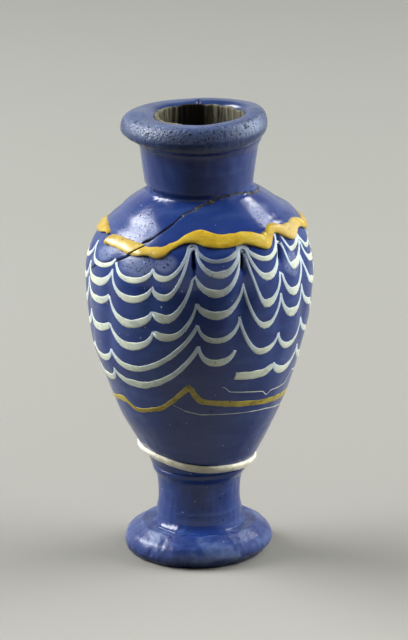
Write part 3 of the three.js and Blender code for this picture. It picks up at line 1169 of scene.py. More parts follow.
@dataclass
class Thread:
    """A thread of glass wound round the body, as a closed ring or a length with two ends."""

    name: str
    height: Callable[[float], float]
    width: float
    nodes: tuple[str, ...] = ()
    proud: float = 0.08
    depth: float = 0.5
    drawn: float = 0.55
    unevenness: float = 0.12
    bulges: tuple[tuple[float, float, float], ...] = ()
    tint_and_light_humps: tuple[tuple[float, float, float], ...] = ()
    thinned: Callable[[float], float] | None = None
    span: tuple[float, float] | None = None
    slants: tuple[float, float] = (0.0, 0.0)
    rounded: tuple[bool, bool] = (False, False)
    flatness: float = 0.35
    spacing: float = 0.3
    sides: int = 12
    coarse_parts: int = 12

    def _blank(self, count: int) -> bpy.types.Object:
        """Returns a ring or a rod, divided finely along its length in two rounds."""
        clear_selection()
        if self.span is None:
            bpy.ops.mesh.primitive_torus_add(
                major_segments=count,
                minor_segments=self.sides,
                major_radius=2 * MM,
                minor_radius=MM,
            )
            return bpy.context.object
        bpy.ops.mesh.primitive_cylinder_add(
            vertices=self.sides, radius=MM, depth=MM, end_fill_type="TRIFAN"
        )
        rod = bpy.context.object
        for parts in (self.coarse_parts, count // self.coarse_parts):
            bpy.ops.object.mode_set(mode="EDIT")
            bpy.ops.mesh.select_mode(type="EDGE")
            bpy.ops.mesh.select_all(action="DESELECT")
            bpy.ops.object.mode_set(mode="OBJECT")
            for edge in rod.data.edges:
                low, high = sorted(rod.data.vertices[i].co.z for i in edge.vertices)
                edge.select = high - low > 0.01 * MM
            bpy.ops.object.mode_set(mode="EDIT")
            if parts > 1:
                bpy.ops.mesh.subdivide(number_cuts=parts - 1)
            bpy.ops.object.mode_set(mode="OBJECT")
        return rod

    def _course(self, form: VaseForm) -> list[Section]:
        """Returns the thread's cross-sections, evenly spaced along it."""
        start, end = self.span or (0.0, 360.0)
        azimuths = steps(start, end, 0.05)
        heights = [self.height(azimuth) for azimuth in azimuths]
        degree = math.radians(form.wall_radius(sum(heights) / len(heights)))
        along = [0.0]
        climbed = [0.0]
        for k in range(1, len(azimuths)):
            rise = heights[k] - heights[k - 1]
            climbed.append(climbed[-1] + abs(rise))
            along.append(along[-1] + math.hypot((azimuths[k] - azimuths[k - 1]) * degree, rise))

        def read(values: list[float], distance: float) -> float:
            """Returns a value at a distance along the thread."""
            distance = clamp(distance, 0.0, along[-1])
            k = max(1, min(bisect_left(along, distance), len(along) - 1))
            share = (distance - along[k - 1]) / (along[k] - along[k - 1])
            return lerp(values[k - 1], values[k], clamp(share))

        parts = self.coarse_parts
        count = parts * max(1, round(along[-1] / self.spacing / parts))
        return [
            self._section(read, azimuths, heights, climbed, along[-1] * k / count, along[-1], degree)
            for k in range(count + 1)
        ]

    def _section(
        self,
        read: Callable[[list[float], float], float],
        azimuths: list[float],
        heights: list[float],
        climbed: list[float],
        here: float,
        length: float,
        degree: float,
    ) -> Section:
        """Returns the cross-section at a distance along the thread.

        Args:
            read: gives a value from a list at a distance along the thread.
            azimuths: the azimuths of finely spaced places.
            heights: their heights.
            climbed: how far the thread has gone up and down until each.
            here: the distance.
            length: the length of the whole thread.
            degree: how many millimetres a degree spans.
        """
        back, ahead = max(0.0, here - 0.25), min(length, here + 0.25)
        across = (read(azimuths, ahead) - read(azimuths, back)) * degree
        upward = read(heights, ahead) - read(heights, back)
        size = math.hypot(across, upward)
        steep = clamp((read(climbed, ahead) - read(climbed, back)) / (ahead - back)) ** 2
        azimuth = read(azimuths, here)
        if self.thinned:
            steep = max(steep, self.thinned(azimuth))
        width = self.width * (1 + 1.3 * self.unevenness * ripple(azimuth, 0, 9, self._seed()))
        width += spread(self.bulges, azimuth)
        half = lerp(width, min(width, self.drawn), steep) / 2
        rise = self.proud * lerp(1.0, 0.7, steep)
        for is_round, distance in zip(self.rounded, (here, length - here)):
            if is_round and distance < half:
                fullness = math.sqrt(1 - (1 - max(0.0, distance) / half) ** 2)
                half, rise = half * max(0.05, fullness), rise * fullness
        return Section(
            azimuth=azimuth,
            z=read(heights, here),
            half=half,
            rise=rise,
            around=-upward / size / degree,
            up=across / size,
            steep=steep,
        )

    def _seed(self) -> float:
        """Returns a number of this thread's own, which shifts its unevenness."""
        return float(sum(map(ord, self.name)) % 97)

    def build(self, form: VaseForm, finish: GlassFinish, slot: Slot) -> bpy.types.Object:
        """Lays the thread on the wall.

        Args:
            form: the vase's sizes.
            finish: the thread's glass.
            slot: the record's material slot.

        Returns:
            The finished piece.
        """
        course = self._course(form)
        count = len(course) - 1
        piece = self._blank(count)
        drawn = piece.data.attributes.new("drawn", "FLOAT", "POINT")
        for vertex, slot_of_drawn in zip(piece.data.vertices, drawn.data):
            x, y, z = vertex.co / MM
            if self.span is None:
                share = math.degrees(math.atan2(x, -y)) % 360 / 360
                side, out = z, math.hypot(x, y) - 2
            else:
                share, side, out = z + 0.5, x, y
            section = course[round(share * count)]
            slot_of_drawn.value = section.steep
            edge = 1 + 0.8 * self.unevenness * ripple(section.azimuth, side, 2.2, self._seed() + 31)
            offset = side * edge * section.half
            turn = section.around * offset + lerp(*self.slants, share) * side
            azimuth, height = section.azimuth + turn, section.z + section.up * offset
            if out > 0:
                uneven = 1 + 3 * self.unevenness * ripple(azimuth, height, 4, self._seed() + 7)
                lift = section.rise * out**self.flatness * uneven
            else:
                lift = out * self.depth
            vertex.co = place(form.skin(azimuth, height) + lift, azimuth, height)
        close_up(piece)
        # Paints where the finish's tint goes, which stands partly for painted shade and painted sheen
        if self.tint_and_light_humps:
            paint(piece, "tint_and_painted_light", lambda radius, azimuth, z: clamp(spread(self.tint_and_light_humps, azimuth)))
        return settle(piece, self.name, finish, slot, self.nodes)


def dragged(
    knots: tuple[tuple[float, float, float], ...], azimuth: float
) -> tuple[float, float]:
    """Returns the height of a thread that strokes drew up into peaks, and how thin it is there.

    Weak strokes leave round swags, strong ones long tails that run up beside the slit
    and meet above it.

    Args:
        knots: azimuth and height of each peak and each lowest place, in their order, and
            for a peak how many degrees the thread runs level on each side of it.
        azimuth: degrees round the vase, from the first knot to the last.
    """
    for left, right in zip(knots, knots[1:]):
        if azimuth <= right[0]:
            break
    peak, trough = (left, right) if left[1] > right[1] else (right, left)
    arch = peak[2]
    crown = 0.35 * arch
    away = abs(azimuth - peak[0])
    if away < arch:
        return peak[1] - crown * (1 - math.sqrt(1 - (away / arch) ** 2)), 0.85
    share = clamp(1 - (away - arch) / (right[0] - left[0] - arch))
    top = peak[1] - crown
    drop = top - trough[1]
    weak = clamp(0.25 + 0.12 * (10.8 - drop), 0.25, 0.9) * (1 - 0.6 * clamp(arch / 1.5))
    hung = 1 - math.sqrt(1 - share**2)
    pull = (1 - weak) * share**2 + weak * hung**1.15
    return lerp(trough[1], top, pull), 0.85 * share**3 * clamp(drop / 5)


@dataclass
class Threads:
    """All the threads on the body, from the shoulder down to the foot."""

    form: VaseForm
    crack: Break
    white_widths: tuple[float, ...] = (1.1, 1.6, 1.9, 1.8, 1.5, 1.6)
    white_bulges: tuple[tuple[tuple[float, float, float], ...], ...] = (
        ((9, 12, -0.25),),
        ((9, 12, -0.2),),
        ((36, 9, 0.4),),
        ((54, 6, 0.3),),
        (),
        ((48, 9, 0.6), (26, 8, 0.2)),
    )
    # Blue tint and painted shade on the white threads at the front
    white_tint_and_shade: tuple[tuple[tuple[float, float, float], ...], ...] = (
        ((9, 17, 0.75),),
        ((9, 17, 0.45),),
        ((9, 20, 0.3),),
        ((9, 24, 0.25),),
        ((5, 24, 0.2),),
        (),
    )
    shoulder_path: tuple[tuple[float, float], ...] = (
        (-160, 10.6),
        (-140, 9.4),
        (-118, 9.0),
        (-100, 10.2),
        (-90, 10.8),
        (-79, 11.0),
        (-70, 11.2),
        (-66, 10.1),
        (-60, 10.4),
        (-50, 10.4),
        (-40, 10.1),
        (-34, 9.8),
        (-28, 10.3),
        (-20, 10.5),
        (-16, 11.5),
        (-10, 12.9),
        (-5, 13.4),
        (1, 13.5),
        (8, 12.8),
        (14, 12.5),
        (22, 12.7),
        (29, 12.9),
        (34, 12.5),
        (38, 11.9),
        (42, 11.7),
        (45, 12.3),
        (48, 13.3),
        (52, 13.7),
        (56, 13.2),
        (60, 12.3),
        (64, 12.0),
        (68, 12.3),
        (74, 12.8),
        (79, 12.7),
        (85, 11.5),
        (92, 10.8),
        (100, 11.0),
        (112, 10.8),
        (135, 12.4),
        (158, 11.3),
        (180, 11.6),
        (200, 10.6),
    )
    shoulder_width: float = 2.2
    shoulder_bulges: tuple[tuple[float, float, float], ...] = (
        (-62, 3, -0.2),
        (-26, 2, -0.2),
        (-20, 4, 1.1),
        (8, 6, 0.1),
        (42, 3, 1.0),
        (51, 3, -0.5),
        (64, 4, 1.2),
        (77, 5, -0.3),
    )
    shoulder_ends: tuple[float, float] = (-68.9, -66.5)
    shoulder_taper: tuple[float, float, float] = (-68, 15, -1.9)
    lower_path: tuple[tuple[float, float], ...] = (
        (-98, -29.6),
        (-85, -28.2),
        (-62, -26.0),
        (-54, -25.8),
        (-52, -26.4),
        (-46, -27.5),
        (-39, -27.3),
        (-28, -26.2),
        (-23, -25.5),
        (-15, -23.2),
        (-8, -20.6),
        (-5, -19.6),
        (-3, -21.6),
        (1, -23.3),
        (9, -23.8),
        (28, -24.8),
        (46, -25.5),
        (70, -26.2),
        (100, -27.2),
        (170, -27.4),
        (230, -28.6),
        (262, -29.6),
    )
    lower_width: float = 1.3
    lowest_end: float = 19.5
    lowest_heights: tuple[float, float] = (46.9, 54.4)
    foot_path: tuple[tuple[float, float], ...] = (
        (-180, 2.2),
        (-120, 3.2),
        (-92, 4.1),
        (-62, 4.5),
        (-50, 4.2),
        (-40, 3.6),
        (-20, 2.8),
        (0, 2.2),
        (20, 1.9),
        (45, 1.7),
        (60, 1.5),
        (85, 1.2),
        (130, 1.0),
        (180, 2.2),
    )
    foot_width: float = 2.1
    upper_hair: tuple[tuple[float, float], ...] = (
        (10, -19.5),
        (16, -20.1),
        (17.5, -21.2),
        (28, -21.8),
        (42, -22.6),
        (45.8, -24.0),
        (48.5, -22.9),
        (57, -23.0),
        (63.5, -22.9),
        (67, -22.0),
        (69.5, -20.2),
        (73, -20.6),
        (90, -22.0),
    )
    lower_hair: tuple[tuple[float, float], ...] = (
        (-19, -23.9),
        (-8, -26.0),
        (1, -26.8),
        (16, -26.9),
        (30, -27.2),
        (49, -27.6),
        (71, -28.9),
        (88, -29.6),
    )

    def white_knots(self, n: int) -> tuple[tuple[float, float, float], ...]:
        """Returns the peaks and lowest places of the nth white thread, over one turn."""
        belly = self.form.belly
        knots = []
        for left, right in zip(STROKES, (*STROKES[1:], STROKES[0])):
            if n >= len(left.peaks):
                continue
            peak, trough = left.peaks[n], left.troughs[n]
            start = left.at(trough, belly)
            width = (right.at(trough, belly) - start) % 360
            knots.append((left.at(peak, belly), peak, left.arch(n)))
            knots.append((start + width * (1 + left.hang) / 2, trough, 0.0))
        if n < len(self.white_widths) - 1:
            return (*knots, (knots[0][0] + 360, *knots[0][1:]))
        end = self.lowest_end
        later = [knot for knot in knots if knot[0] > end + 3]
        earlier = [(knot[0] + 360, *knot[1:]) for knot in knots if knot[0] < end - 3]
        first, last = self.lowest_heights
        return ((end, first, 0.0), *later, *earlier, (end + 360, last, 0.0))

    def crossings(self, height: Callable[[float], float]) -> tuple[float, float]:
        """Returns the azimuths, back and front, where the break crosses a thread."""
        below = [a for a in range(-189, 60) if self.crack.height(a) < height(a)]
        return float(min(below)), float(max(below))

    def shoulder(self) -> None:
        """Lays the yellow thread in the three lengths that its ends and the break leave."""

        def height(azimuth: float) -> float:
            return self.form.belly + line(self.shoulder_path, azimuth)

        back, front = self.crossings(height)
        end, start = self.shoulder_ends
        lengths = {
            "shoulder_thread_start": ((start + 0.4, front - 0.4), (0.0, 4.0), (True, False)),
            "shoulder_thread_end": ((back + 0.3, end), (-4.0, 0.0), (False, False)),
            "shoulder_thread_body": ((front + 0.4, back + 359.7), (4.0, -4.0), (False, False)),
        }
        level = {"shoulder_thread_start": lambda azimuth: height(max(azimuth, start + 4))}
        tapered = {"shoulder_thread_end": (self.shoulder_taper,)}
        for node, (span, slants, rounded) in lengths.items():
            length = Thread(
                name=f"ochre_{node}",
                height=level.get(node, height),
                width=self.shoulder_width,
                nodes=(node,),
                proud=0.85,
                drawn=1.5 * self.shoulder_width,
                unevenness=0.08,
                # Painted sheen on the left and right of the shoulder thread
                tint_and_light_humps=((-48, 22, 0.18), (66, 12, 0.3)),
                bulges=tapered.get(node, self.shoulder_bulges),
                span=span,
                slants=slants,
                rounded=rounded,
                flatness=0.7,
                sides=20,
            )
            length.build(self.form, OCHRE_GLASS, Slot.YELLOW)

    def whites(self) -> None:
        """Lays the white threads. The break parts the top one, and the lowest has two ends."""
        for n, width in enumerate(self.white_widths):
            knots = self.white_knots(n)
            first = knots[0][0]

            def height(azimuth: float, knots=knots, first=first, n=n) -> float:
                azimuth = (azimuth - first) % 360 + first
                return dragged(knots, azimuth)[0] + 0.2 * ripple(azimuth, 5 * n, 8, 20.0)

            def thinned(azimuth: float, knots=knots, first=first) -> float:
                return dragged(knots, (azimuth - first) % 360 + first)[1]

            name = f"white_thread_{n + 1}"
            if n == 0:
                back, front = self.crossings(height)
                spans = {
                    f"{name}_neck": (back + 0.5, front - 0.5),
                    f"{name}_body": (front + 0.5, back + 359.5),
                }
            elif n == len(self.white_widths) - 1:
                spans = {name: (self.lowest_end + 0.5, self.lowest_end + 359.5)}
            else:
                spans = {name: None}
            for node, span in spans.items():
                thread = Thread(
                    name=f"combed_{node}",
                    height=height,
                    width=width,
                    nodes=(node,),
                    bulges=self.white_bulges[n],
                    tint_and_light_humps=self.white_tint_and_shade[n],
                    thinned=thinned,
                    span=span,
                )
                thread.build(self.form, CELADON_GLASS, Slot.WHITE)

    def lower(self) -> None:
        """Lays the yellow thread round the lower body, drawn up thick at two strokes."""

        def height(azimuth: float) -> float:
            return self.form.belly + line(self.lower_path, azimuth, 1.5)

        thread = Thread(
            name="combed_lower_thread",
            height=height,
            width=self.lower_width,
            nodes=("lower_thread",),
            drawn=1.0,
            bulges=((-5, 3, 0.7), (-1, 6, 0.5), (-58, 3, 0.4), (20, 15, 0.35), (-30, 20, -0.25)),
        )
        thread.build(self.form, MUSTARD_GLASS, Slot.YELLOW)

    def hairs(self) -> None:
        """Lays two stray hairs of glass, one on each side of the lower thread."""
        for name, path in (("upper", self.upper_hair), ("lower", self.lower_hair)):
            hair = Thread(
                name=f"stray_hair_{name}",
                height=lambda azimuth, path=path: self.form.belly + line(path, azimuth, 1.5),
                width=0.2,
                proud=0.02,
                depth=0.2,
                drawn=0.16,
                unevenness=0.4,
                span=(path[0][0] + 3, path[-1][0] - 3),
                sides=8,
            )
            hair.build(self.form, CELADON_GLASS, Slot.WHITE)

    def foot(self) -> None:
        """Lays the thick white thread round the foot of the body."""

        def height(azimuth: float) -> float:
            wander = 0.1 * ripple(azimuth, 0, 9, 51.0)
            return self.form.body_base + line(self.foot_path, azimuth, 12) + wander

        thread = Thread(
            name="ivory_foot_thread",
            height=height,
            width=self.foot_width,
            nodes=("foot_thread",),
            proud=0.85,
            unevenness=0.05,
            # Earth and painted shade on the front of the foot thread
            tint_and_light_humps=((2, 22, 0.6),),
            flatness=0.7,
            sides=20,
        )
        thread.build(self.form, IVORY_GLASS, Slot.WHITE)

    def build(self) -> None:
        """Lays every thread."""
        self.shoulder()
        self.whites()
        self.lower()
        self.hairs()
        self.foot()


@dataclass
class Mouth:
    """The rolled rim and the crust of the core inside it."""

    form: VaseForm
    roll_radius: float = 13.7
    outer_radius: float = 16.0
    mouth_radius: float = 9.6
    up_reach: float = 3.5
    down_reach: float = 3.0
    side_loss: float = 1.5
    right_gain: float = 0.6
    roll_middle: float = 97.3
    roll_shift: float = -1.1
    mouth_shift: float = 0.4
    tilt_right: float = 0.53
    tilt_front: float = -0.25
    tilt_back: float = -0.8
    crust: float = 0.6
    crust_below_top: float = 0.35
    crust_above_neck_base: float = 0.9
    notch: float = 181.0
    # Where the painted sheen on the roll lies: azimuth, reach and strength
    tint_and_light_humps: tuple[tuple[float, float, float], ...] = ((54, 22, 0.6), (-44, 26, 0.2))
    pit_radius: float = 15.0
    pits: tuple[tuple[float, float, float], ...] = (
        (43, 0.5, 0.6),
        (-63, 0.32, 0.35),
        (-54, 0.28, 0.3),
        (-30, 0.2, 0.15),
        (12, 0.25, 0.2),
        (72, 0.3, 0.25),
    )

    def shift(self, radius: float) -> float:
        """Returns how far the rim's parts stand to the side: the roll leans off the mouth."""
        share = clamp((radius - self.mouth_radius) / (self.outer_radius - self.mouth_radius))
        return lerp(self.mouth_shift, self.roll_shift, share)

    def tilt(self, azimuth: float) -> float:
        """Returns how much higher the rim stands at an azimuth."""
        right, front = math.sin(math.radians(azimuth)), math.cos(math.radians(azimuth))
        return self.tilt_right * right + (self.tilt_front if front > 0 else -self.tilt_back) * front

    def down(self, azimuth: float) -> float:
        """Returns how far the roll reaches down at an azimuth: least on the left."""
        right = math.sin(math.radians(azimuth))
        return self.down_reach - self.side_loss * right**2 + self.right_gain * right

    def rim(self) -> bpy.types.Object:
        """Builds the coil of glass that makes the rim, a little uneven as it was wound."""
        clear_selection()
        bpy.ops.mesh.primitive_torus_add(
            major_segments=320, minor_segments=84, major_radius=4 * MM, minor_radius=MM
        )
        piece = bpy.context.object
        for vertex in piece.data.vertices:
            x, y, z = vertex.co / MM
            azimuth = math.degrees(math.atan2(x, -y))
            out = math.hypot(x, y) - 4
            swell = 1 + 0.02 * ripple(azimuth, 5 * z, 12, 5.5)
            if out > 0:
                radius = lerp(self.roll_radius, self.outer_radius, out * swell)
            else:
                radius = lerp(self.roll_radius, self.mouth_radius, (-out) ** 0.5)
            fullness = 0.9 if out > 0 else 0.6
            rise = self.up_reach * z**fullness if z > 0 else self.down(azimuth) * z
            height = self.roll_middle + rise * swell
            front = smooth(math.cos(math.radians(azimuth)), -0.2, 0.7) * smooth(out, -0.2, 0.5)
            radius += 0.05 * front * ripple(azimuth, height, 0.9, 9.2)
            px, py, pz = place(radius, azimuth, height + self.tilt(azimuth))
            vertex.co = (px + self.shift(radius) * MM, py, pz)
        close_up(piece)
        for azimuth, size, depth in self.pits:
            height = self.roll_middle + 0.84 * self.up_reach + self.tilt(azimuth)
            dent(piece, place(self.pit_radius, azimuth, height), size, depth)
        for out, drop in ((2.2, 0.0), (1.6, 0.0), (1.0, 0.0), (0.5, 0.4), (0.2, 1.0), (0, 1.7), (0, 2.4)):
            spot = place(self.mouth_radius + out, self.notch, self.form.top - drop)
            dent(piece, spot, 0.5, 0.8)
        form = self.form

        # Painted shade in the notch at the back of the mouth and in the pits
        def painted_shade(radius: float, azimuth: float, z: float) -> float:
            away = math.radians((azimuth - self.notch + 180) % 360 - 180) * radius
            in_notch = smooth(0.5 - abs(away), 0, 0.25) * smooth(12.2 - radius, 0, 0.6)
            in_pits = max(
                smooth(
                    size - math.hypot(math.radians(azimuth - at) * radius, radius - self.pit_radius), 0, 0.15
                )
                for at, size, depth in self.pits
            )
            return max(in_notch, in_pits) if z > self.roll_middle + 0.6 * self.up_reach else 0.0

        def worn_at(radius: float, azimuth: float, z: float) -> float:
            upper = smooth(z - self.tilt(azimuth), self.roll_middle - 0.3, self.roll_middle + 1.3)
            return upper * smooth(math.cos(math.radians(azimuth)), -0.5, 0.6)

        # Painted sheen on the outer upper front of the roll, most on the right
        def tint_and_painted_light(radius: float, azimuth: float, z: float) -> float:
            outer = smooth(radius, self.roll_radius, self.roll_radius + 1)
            return outer * worn_at(radius, azimuth, z) * clamp(spread(self.tint_and_light_humps, azimuth))

        paint(piece, "painted_shade", painted_shade)
        paint(piece, "worn", worn_at)
        paint(piece, "tint_and_painted_light", tint_and_painted_light)
        return settle(piece, "rolled_rim", PITTED_COBALT, Slot.BLUE, ("rim_coil",))

    def residue(self) -> bpy.types.Object:
        """Builds the crust on the bore, ragged along its upper edge."""
        form = self.form
        low = form.neck_base + self.crust_above_neck_base
        high = form.top - self.crust_below_top
        bore = self.mouth_radius + 0.35
        waist = form.neck_base_radius - form.neck_wall

        def bore_at(z: float) -> float:
            return min(bore, lerp(waist, bore, (z - form.neck_base) / (form.rim_seat - form.neck_base)))

        outer = [(bore_at(z) + 0.1, z) for z in steps(low, high, 0.5)]
        inner = [(bore_at(z) - self.crust, z) for z in steps(high, low, 0.4)]
        piece = turned([*outer, *inner, outer[0]], 240)

        def shape(radius: float, azimuth: float, z: float) -> Point:
            depth = bore_at(z) - radius
            ragged = 0.15 * ripple(azimuth, 0, 6, 71.0) * smooth(z, low + 5, high)
            scored = 0.16 * ripple(azimuth * 1.0, z * 0.15, 1.4, 77.0) if depth > 0.2 else 0.0
            x, y, height = place(radius + scored, azimuth, z + ragged)
            return (x + self.mouth_shift * MM * smooth(z, low, high), y, height)

        # Painted shade: darkest at the back of the bore, around 194 degrees
        def painted_bore_shade(radius: float, azimuth: float, z: float) -> float:
            away = abs((azimuth - 194 + 180) % 360 - 180)
            return 1 - smooth(away + 10 * ripple(azimuth, 0, 3, 91.0), 8, 44)

        reshape(piece, shape)
        paint(piece, "painted_bore_shade", painted_bore_shade)
        return settle(piece, "crust_in_mouth", CORE_CRUST, Slot.CRUST, ("core_residue",))


@dataclass
class Foot:
    """The stem and the pad foot."""

    form: VaseForm
    waist_radius: float = 9.05
    waist_rise: float = 6.4
    seat_radius: float = 9.4
    seat_height: float = 8.43
    slope: float = 0.62
    fillet_rise: float = 1.5
    fillet_reach: tuple[float, float] = (0.7, 2.3)
    rest_radius: float = 15.0
    rest_shift: float = -0.7
    edge_height: float = 2.65
    edge_lift: float = 0.2
    rounding: float = 1.4

    def pad_height(self, radius: float, azimuth: float) -> float:
        """Returns the height of the pad's sloping top, a cone that rounds over at its edge."""
        cone = self.seat_height - self.slope * (radius - self.seat_radius)
        out = clamp(1 - (self.form.pad_radius - radius) / self.rounding)
        edge = self.seat_height - self.slope * (self.form.pad_radius - self.seat_radius)
        lift = self.edge_lift * math.sin(math.radians(azimuth)) * smooth(radius, 10, 15)
        return min(cone, self.form.pad_top) - (edge - self.edge_height) * out**2.5 + lift

    def stem(self) -> bpy.types.Object:
        """Builds the solid stem. Its foot spreads thinly over the pad, most in front."""
        form = self.form
        waist = form.pad_top + self.waist_rise
        seat = self.seat_radius
        foot = self.seat_height + self.fillet_rise

        def radius_at(z: float) -> float:
            if z < waist:
                return lerp(self.waist_radius, seat, ((waist - z) / (waist - foot)) ** 2)
            share = (z - waist) / (form.body_base - waist)
            return lerp(self.waist_radius, form.stem_top_radius, share**3)

        side = [(radius_at(z), z) for z in steps(foot, form.body_base, 0.35)]
        sweep = [(seat + 1 - k / 24, foot - 0.1 * (24 - k)) for k in range(24)]
        piece = turned([(0, 4.6), (seat, 4.6), *sweep, *side, (0, form.body_base)], 300)

        def shape(radius: float, azimuth: float, z: float) -> Point:
            uneven = 0.06 * ripple(azimuth, z, 10, 61.0) + 0.03 * ripple(azimuth, z, 3, 63.0)
            if radius > 5 and z >= foot - 1e-3:
                joined = smooth(z, form.body_base - 2.5, form.body_base)
                radius = lerp(radius + uneven, form.skin(azimuth, form.body_base), joined)
            elif radius > 5 and z > 5:
                out = clamp(radius - seat)
                front = clamp(math.cos(math.radians(azimuth))) ** 2
                ragged = 0.25 * ripple(azimuth, 0, 9, 64.0) + 0.12 * ripple(azimuth, 0, 3, 66.0)
                radius = seat + uneven + out * (lerp(*self.fillet_reach, front) + ragged)
                rise = self.fillet_rise * (1 - out) ** 2.2 + 0.14 * smooth(1 - out, 0, 0.08)
                z = self.pad_height(radius, azimuth) + rise
            return place(radius, azimuth, z)

        reshape(piece, shape)
        return settle(piece, "drawn_stem", COBALT_GLASS, Slot.BLUE, ("stem",))

    def pad(self) -> bpy.types.Object:
        """Builds the pad: flat below, sloping above, its edge chipped here and there."""
        form = self.form
        top = [
            (radius, self.pad_height(radius, 0))
            for radius in steps(form.pad_radius, self.seat_radius, 0.25)
        ]
        edge = [
            (
                lerp(self.rest_radius, form.pad_radius, share) + 0.4 * math.sin(math.pi * share),
                self.edge_height * share,
            )
            for share in (i / 10 for i in range(10))
        ]
        piece = turned([(0, 0), (0.5 * self.rest_radius, 0), *edge, *top, (0, form.pad_top)], 320)

        def shape(radius: float, azimuth: float, z: float) -> Point:
            near_edge = smooth(radius, 11, 15)
            uneven = 0.12 * ripple(azimuth, z, 9, 81.0) + 0.06 * ripple(azimuth, z, 2.2, 83.0)
            lift = 0.07 * ripple(azimuth, z, 7, 85.0) * near_edge if z > 0.8 else 0.0
            lift += self.pad_height(radius, azimuth) - self.pad_height(radius, 0) if z > 0.8 else 0.0
            x, y, height = place(radius + uneven * near_edge, azimuth, z + lift)
            return (x + self.rest_shift * MM * (1 - smooth(z, 0, self.edge_height)), y, height)

        reshape(piece, shape)
        for azimuth, size, depth in ((-42, 0.9, 0.35), (-5, 0.8, 0.3), (35, 0.7, 0.25), (58, 0.8, 0.3)):
            dent(piece, place(form.pad_radius, azimuth, self.edge_height), size, depth)
        # Painted shade under the pad's edge, darker towards the bottom
        paint(piece, "painted_shade", lambda radius, azimuth, z: 0.5 * (1 - smooth(z, 1.2, 2.5)))
        return settle(piece, "pad_foot", SWIRLED_COBALT, Slot.BLUE, ("foot_pad",))


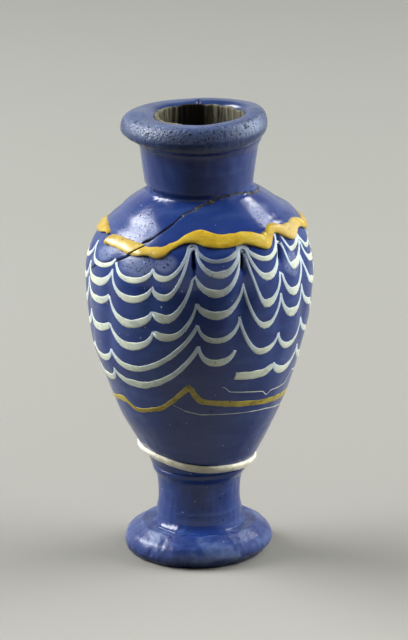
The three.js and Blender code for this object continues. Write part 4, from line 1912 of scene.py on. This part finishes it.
@dataclass
class Studio:
    """The table, the soft lights and the camera."""

    centre: Vector = field(default_factory=lambda: Vector((1.1, 0, 52.95)) * MM)
    elevation: float = 17.5
    distance: float = 900.0
    focal_pixels: float = 4074.0
    photo_height: float = 640.0

    def camera(self) -> None:
        """Sets the camera at the photograph's viewing angle."""
        angle = math.radians(self.elevation)
        back = Vector((0, -math.cos(angle), math.sin(angle)))
        data = bpy.data.cameras.new("camera")
        data.sensor_width = 36
        data.lens = data.sensor_width * self.focal_pixels / self.photo_height
        data.clip_start = 0.01
        camera = bpy.data.objects.new("camera", data)
        camera.location = self.centre + back * self.distance * MM
        camera.rotation_euler = (-back).to_track_quat("-Z", "Y").to_euler()
        bpy.context.collection.objects.link(camera)
        bpy.context.scene.camera = camera

    def softbox(
        self, name: str, place_at: Point, size: tuple[float, float], power: float, colour: str
    ) -> bpy.types.Object:
        """Adds a rectangular lamp that faces the vase.

        Args:
            name: the lamp's name.
            place_at: its middle, in metres.
            size: its width and height, in metres.
            power: its strength in watts.
            colour: its sRGB colour.

        Returns:
            The lamp.
        """
        data = bpy.data.lights.new(name, "AREA")
        data.shape = "RECTANGLE"
        data.size, data.size_y = size
        data.energy = power
        data.color = srgb(colour)[:3]
        lamp = bpy.data.objects.new(name, data)
        lamp.location = place_at
        towards = self.centre - Vector(place_at)
        lamp.rotation_euler = towards.to_track_quat("-Z", "Y").to_euler()
        bpy.context.collection.objects.link(lamp)
        return lamp

    def table(self) -> None:
        """Lays the pale table, whose colour shades towards the back as the photograph's does."""
        clear_selection()
        bpy.ops.mesh.primitive_plane_add(size=2.4)
        table = bpy.context.object
        table.name = "table"
        made = bpy.data.materials.new("matt_grey_paper")
        made.use_nodes = True
        tree = made.node_tree
        tree.nodes.clear()
        coords = add_node(tree, "ShaderNodeTexCoord").outputs["Object"]
        right, depth, _ = add_node(
            tree, "ShaderNodeSeparateXYZ", {}, {"Vector": coords}
        ).outputs
        share = add_node(
            tree,
            "ShaderNodeMapRange",
            {"From Min": -0.2, "From Max": 0.6},
            {"Value": depth},
        ).outputs["Result"]
        # The ramp paints light falloff on the table: lighter at the front and the back, darker between
        ramp = add_node(tree, "ShaderNodeValToRGB", {}, {"Fac": share})
        ramp.color_ramp.elements[0].position = 0.0
        ramp.color_ramp.elements[0].color = srgb("#8c8c87")
        ramp.color_ramp.elements[1].position = 1.0
        ramp.color_ramp.elements[1].color = srgb("#858580")
        ramp.color_ramp.elements.new(0.3).color = srgb("#797873")
        ramp.color_ramp.elements.new(0.6).color = srgb("#7b7c76")
        slanted = add_node(
            tree, "ShaderNodeMath", {"operation": "MULTIPLY_ADD", 1: 0.28}, {0: right, 2: depth}
        ).outputs["Value"]
        shaded = add_node(
            tree,
            "ShaderNodeMapRange",
            {"From Min": -0.2, "From Max": -0.01, "To Min": 0.15, "To Max": 1.0},
            {"Value": slanted},
        ).outputs["Result"]
        by_camera = add_node(tree, "ShaderNodeLightPath").outputs["Is Camera Ray"]
        strength = add_node(
            tree, "ShaderNodeMath", {"operation": "MAXIMUM"}, {0: shaded, 1: by_camera}
        ).outputs["Value"]
        seen = add_node(
            tree,
            "ShaderNodeVectorMath",
            {"operation": "SCALE"},
            {"Vector": ramp.outputs["Color"], "Scale": strength},
        ).outputs["Vector"]
        shader = add_node(
            tree,
            "ShaderNodeBsdfPrincipled",
            {"Roughness": 0.9, "Specular IOR Level": 0.2},
            {"Base Color": seen},
        ).outputs["BSDF"]
        add_node(tree, "ShaderNodeOutputMaterial", {}, {"Surface": shader})
        table.data.materials.append(made)

    def world(self) -> None:
        """Fills the room with a weak light under a pale backdrop that reaches half way up."""
        world = bpy.data.worlds.new("room")
        world.use_nodes = True
        tree = world.node_tree
        tree.nodes.clear()
        towards = add_node(tree, "ShaderNodeTexCoord").outputs["Generated"]
        up = add_node(tree, "ShaderNodeSeparateXYZ", {}, {"Vector": towards}).outputs["Z"]
        backdrop = add_node(
            tree,
            "ShaderNodeMapRange",
            {"From Min": 0.3, "From Max": 0.6, "To Min": 0.75, "To Max": 0.08},
            {"Value": up},
        ).outputs["Result"]
        path = add_node(tree, "ShaderNodeLightPath").outputs
        mirrored = add_node(
            tree,
            "ShaderNodeMath",
            {"operation": "MAXIMUM"},
            {0: path["Is Camera Ray"], 1: path["Is Glossy Ray"]},
        ).outputs["Value"]
        strength = add_node(
            tree, "ShaderNodeMix", {"data_type": "FLOAT", 2: 0.05}, {0: mirrored, 3: backdrop}
        ).outputs[0]
        light = add_node(
            tree,
            "ShaderNodeBackground",
            {"Color": srgb("#f8f9f4")},
            {"Strength": strength},
        ).outputs["Background"]
        add_node(tree, "ShaderNodeOutputWorld", {}, {"Surface": light})
        bpy.context.scene.world = world

    def build(self) -> None:
        """Sets up the studio."""
        self.camera()
        self.table()
        self.world()
        self.softbox("left_softbox", (-0.605, 0.18, 0.501), (0.52, 0.31), 7.4, "#fdfdff")
        self.softbox("right_softbox", (0.405, 0.405, 0.592), (0.16, 0.11), 0.85, "#fdfdff")
        fills = (
            ("left_fill", (-0.65, 0.1, 0.45), (0.6, 0.6), 8.5),
            ("right_fill", (0.65, 0.1, 0.42), (0.6, 0.6), 13.0),
            ("overhead", (0.0, 0.1, 1.2), (0.9, 0.9), 6.0),
        )
        for name, place_at, size, power in fills:
            fill = self.softbox(name, place_at, size, power, "#ffffff")
            fill.visible_glossy = False
        bpy.context.scene.view_settings.view_transform = "Standard"


def main() -> None:
    """Builds the vase's pieces over the frame, then the studio."""
    logging.basicConfig(level=logging.INFO, format="%(name)s: %(message)s")
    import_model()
    form = VaseForm.from_frame()
    crack = Break()
    wall = Wall(form, crack)
    wall.body()
    wall.neck()
    wall.glue()
    Threads(form, crack).build()
    mouth = Mouth(form)
    mouth.rim()
    mouth.residue()
    foot = Foot(form)
    foot.stem()
    foot.pad()
    Studio().build()


if __name__ == "__main__":
    main()
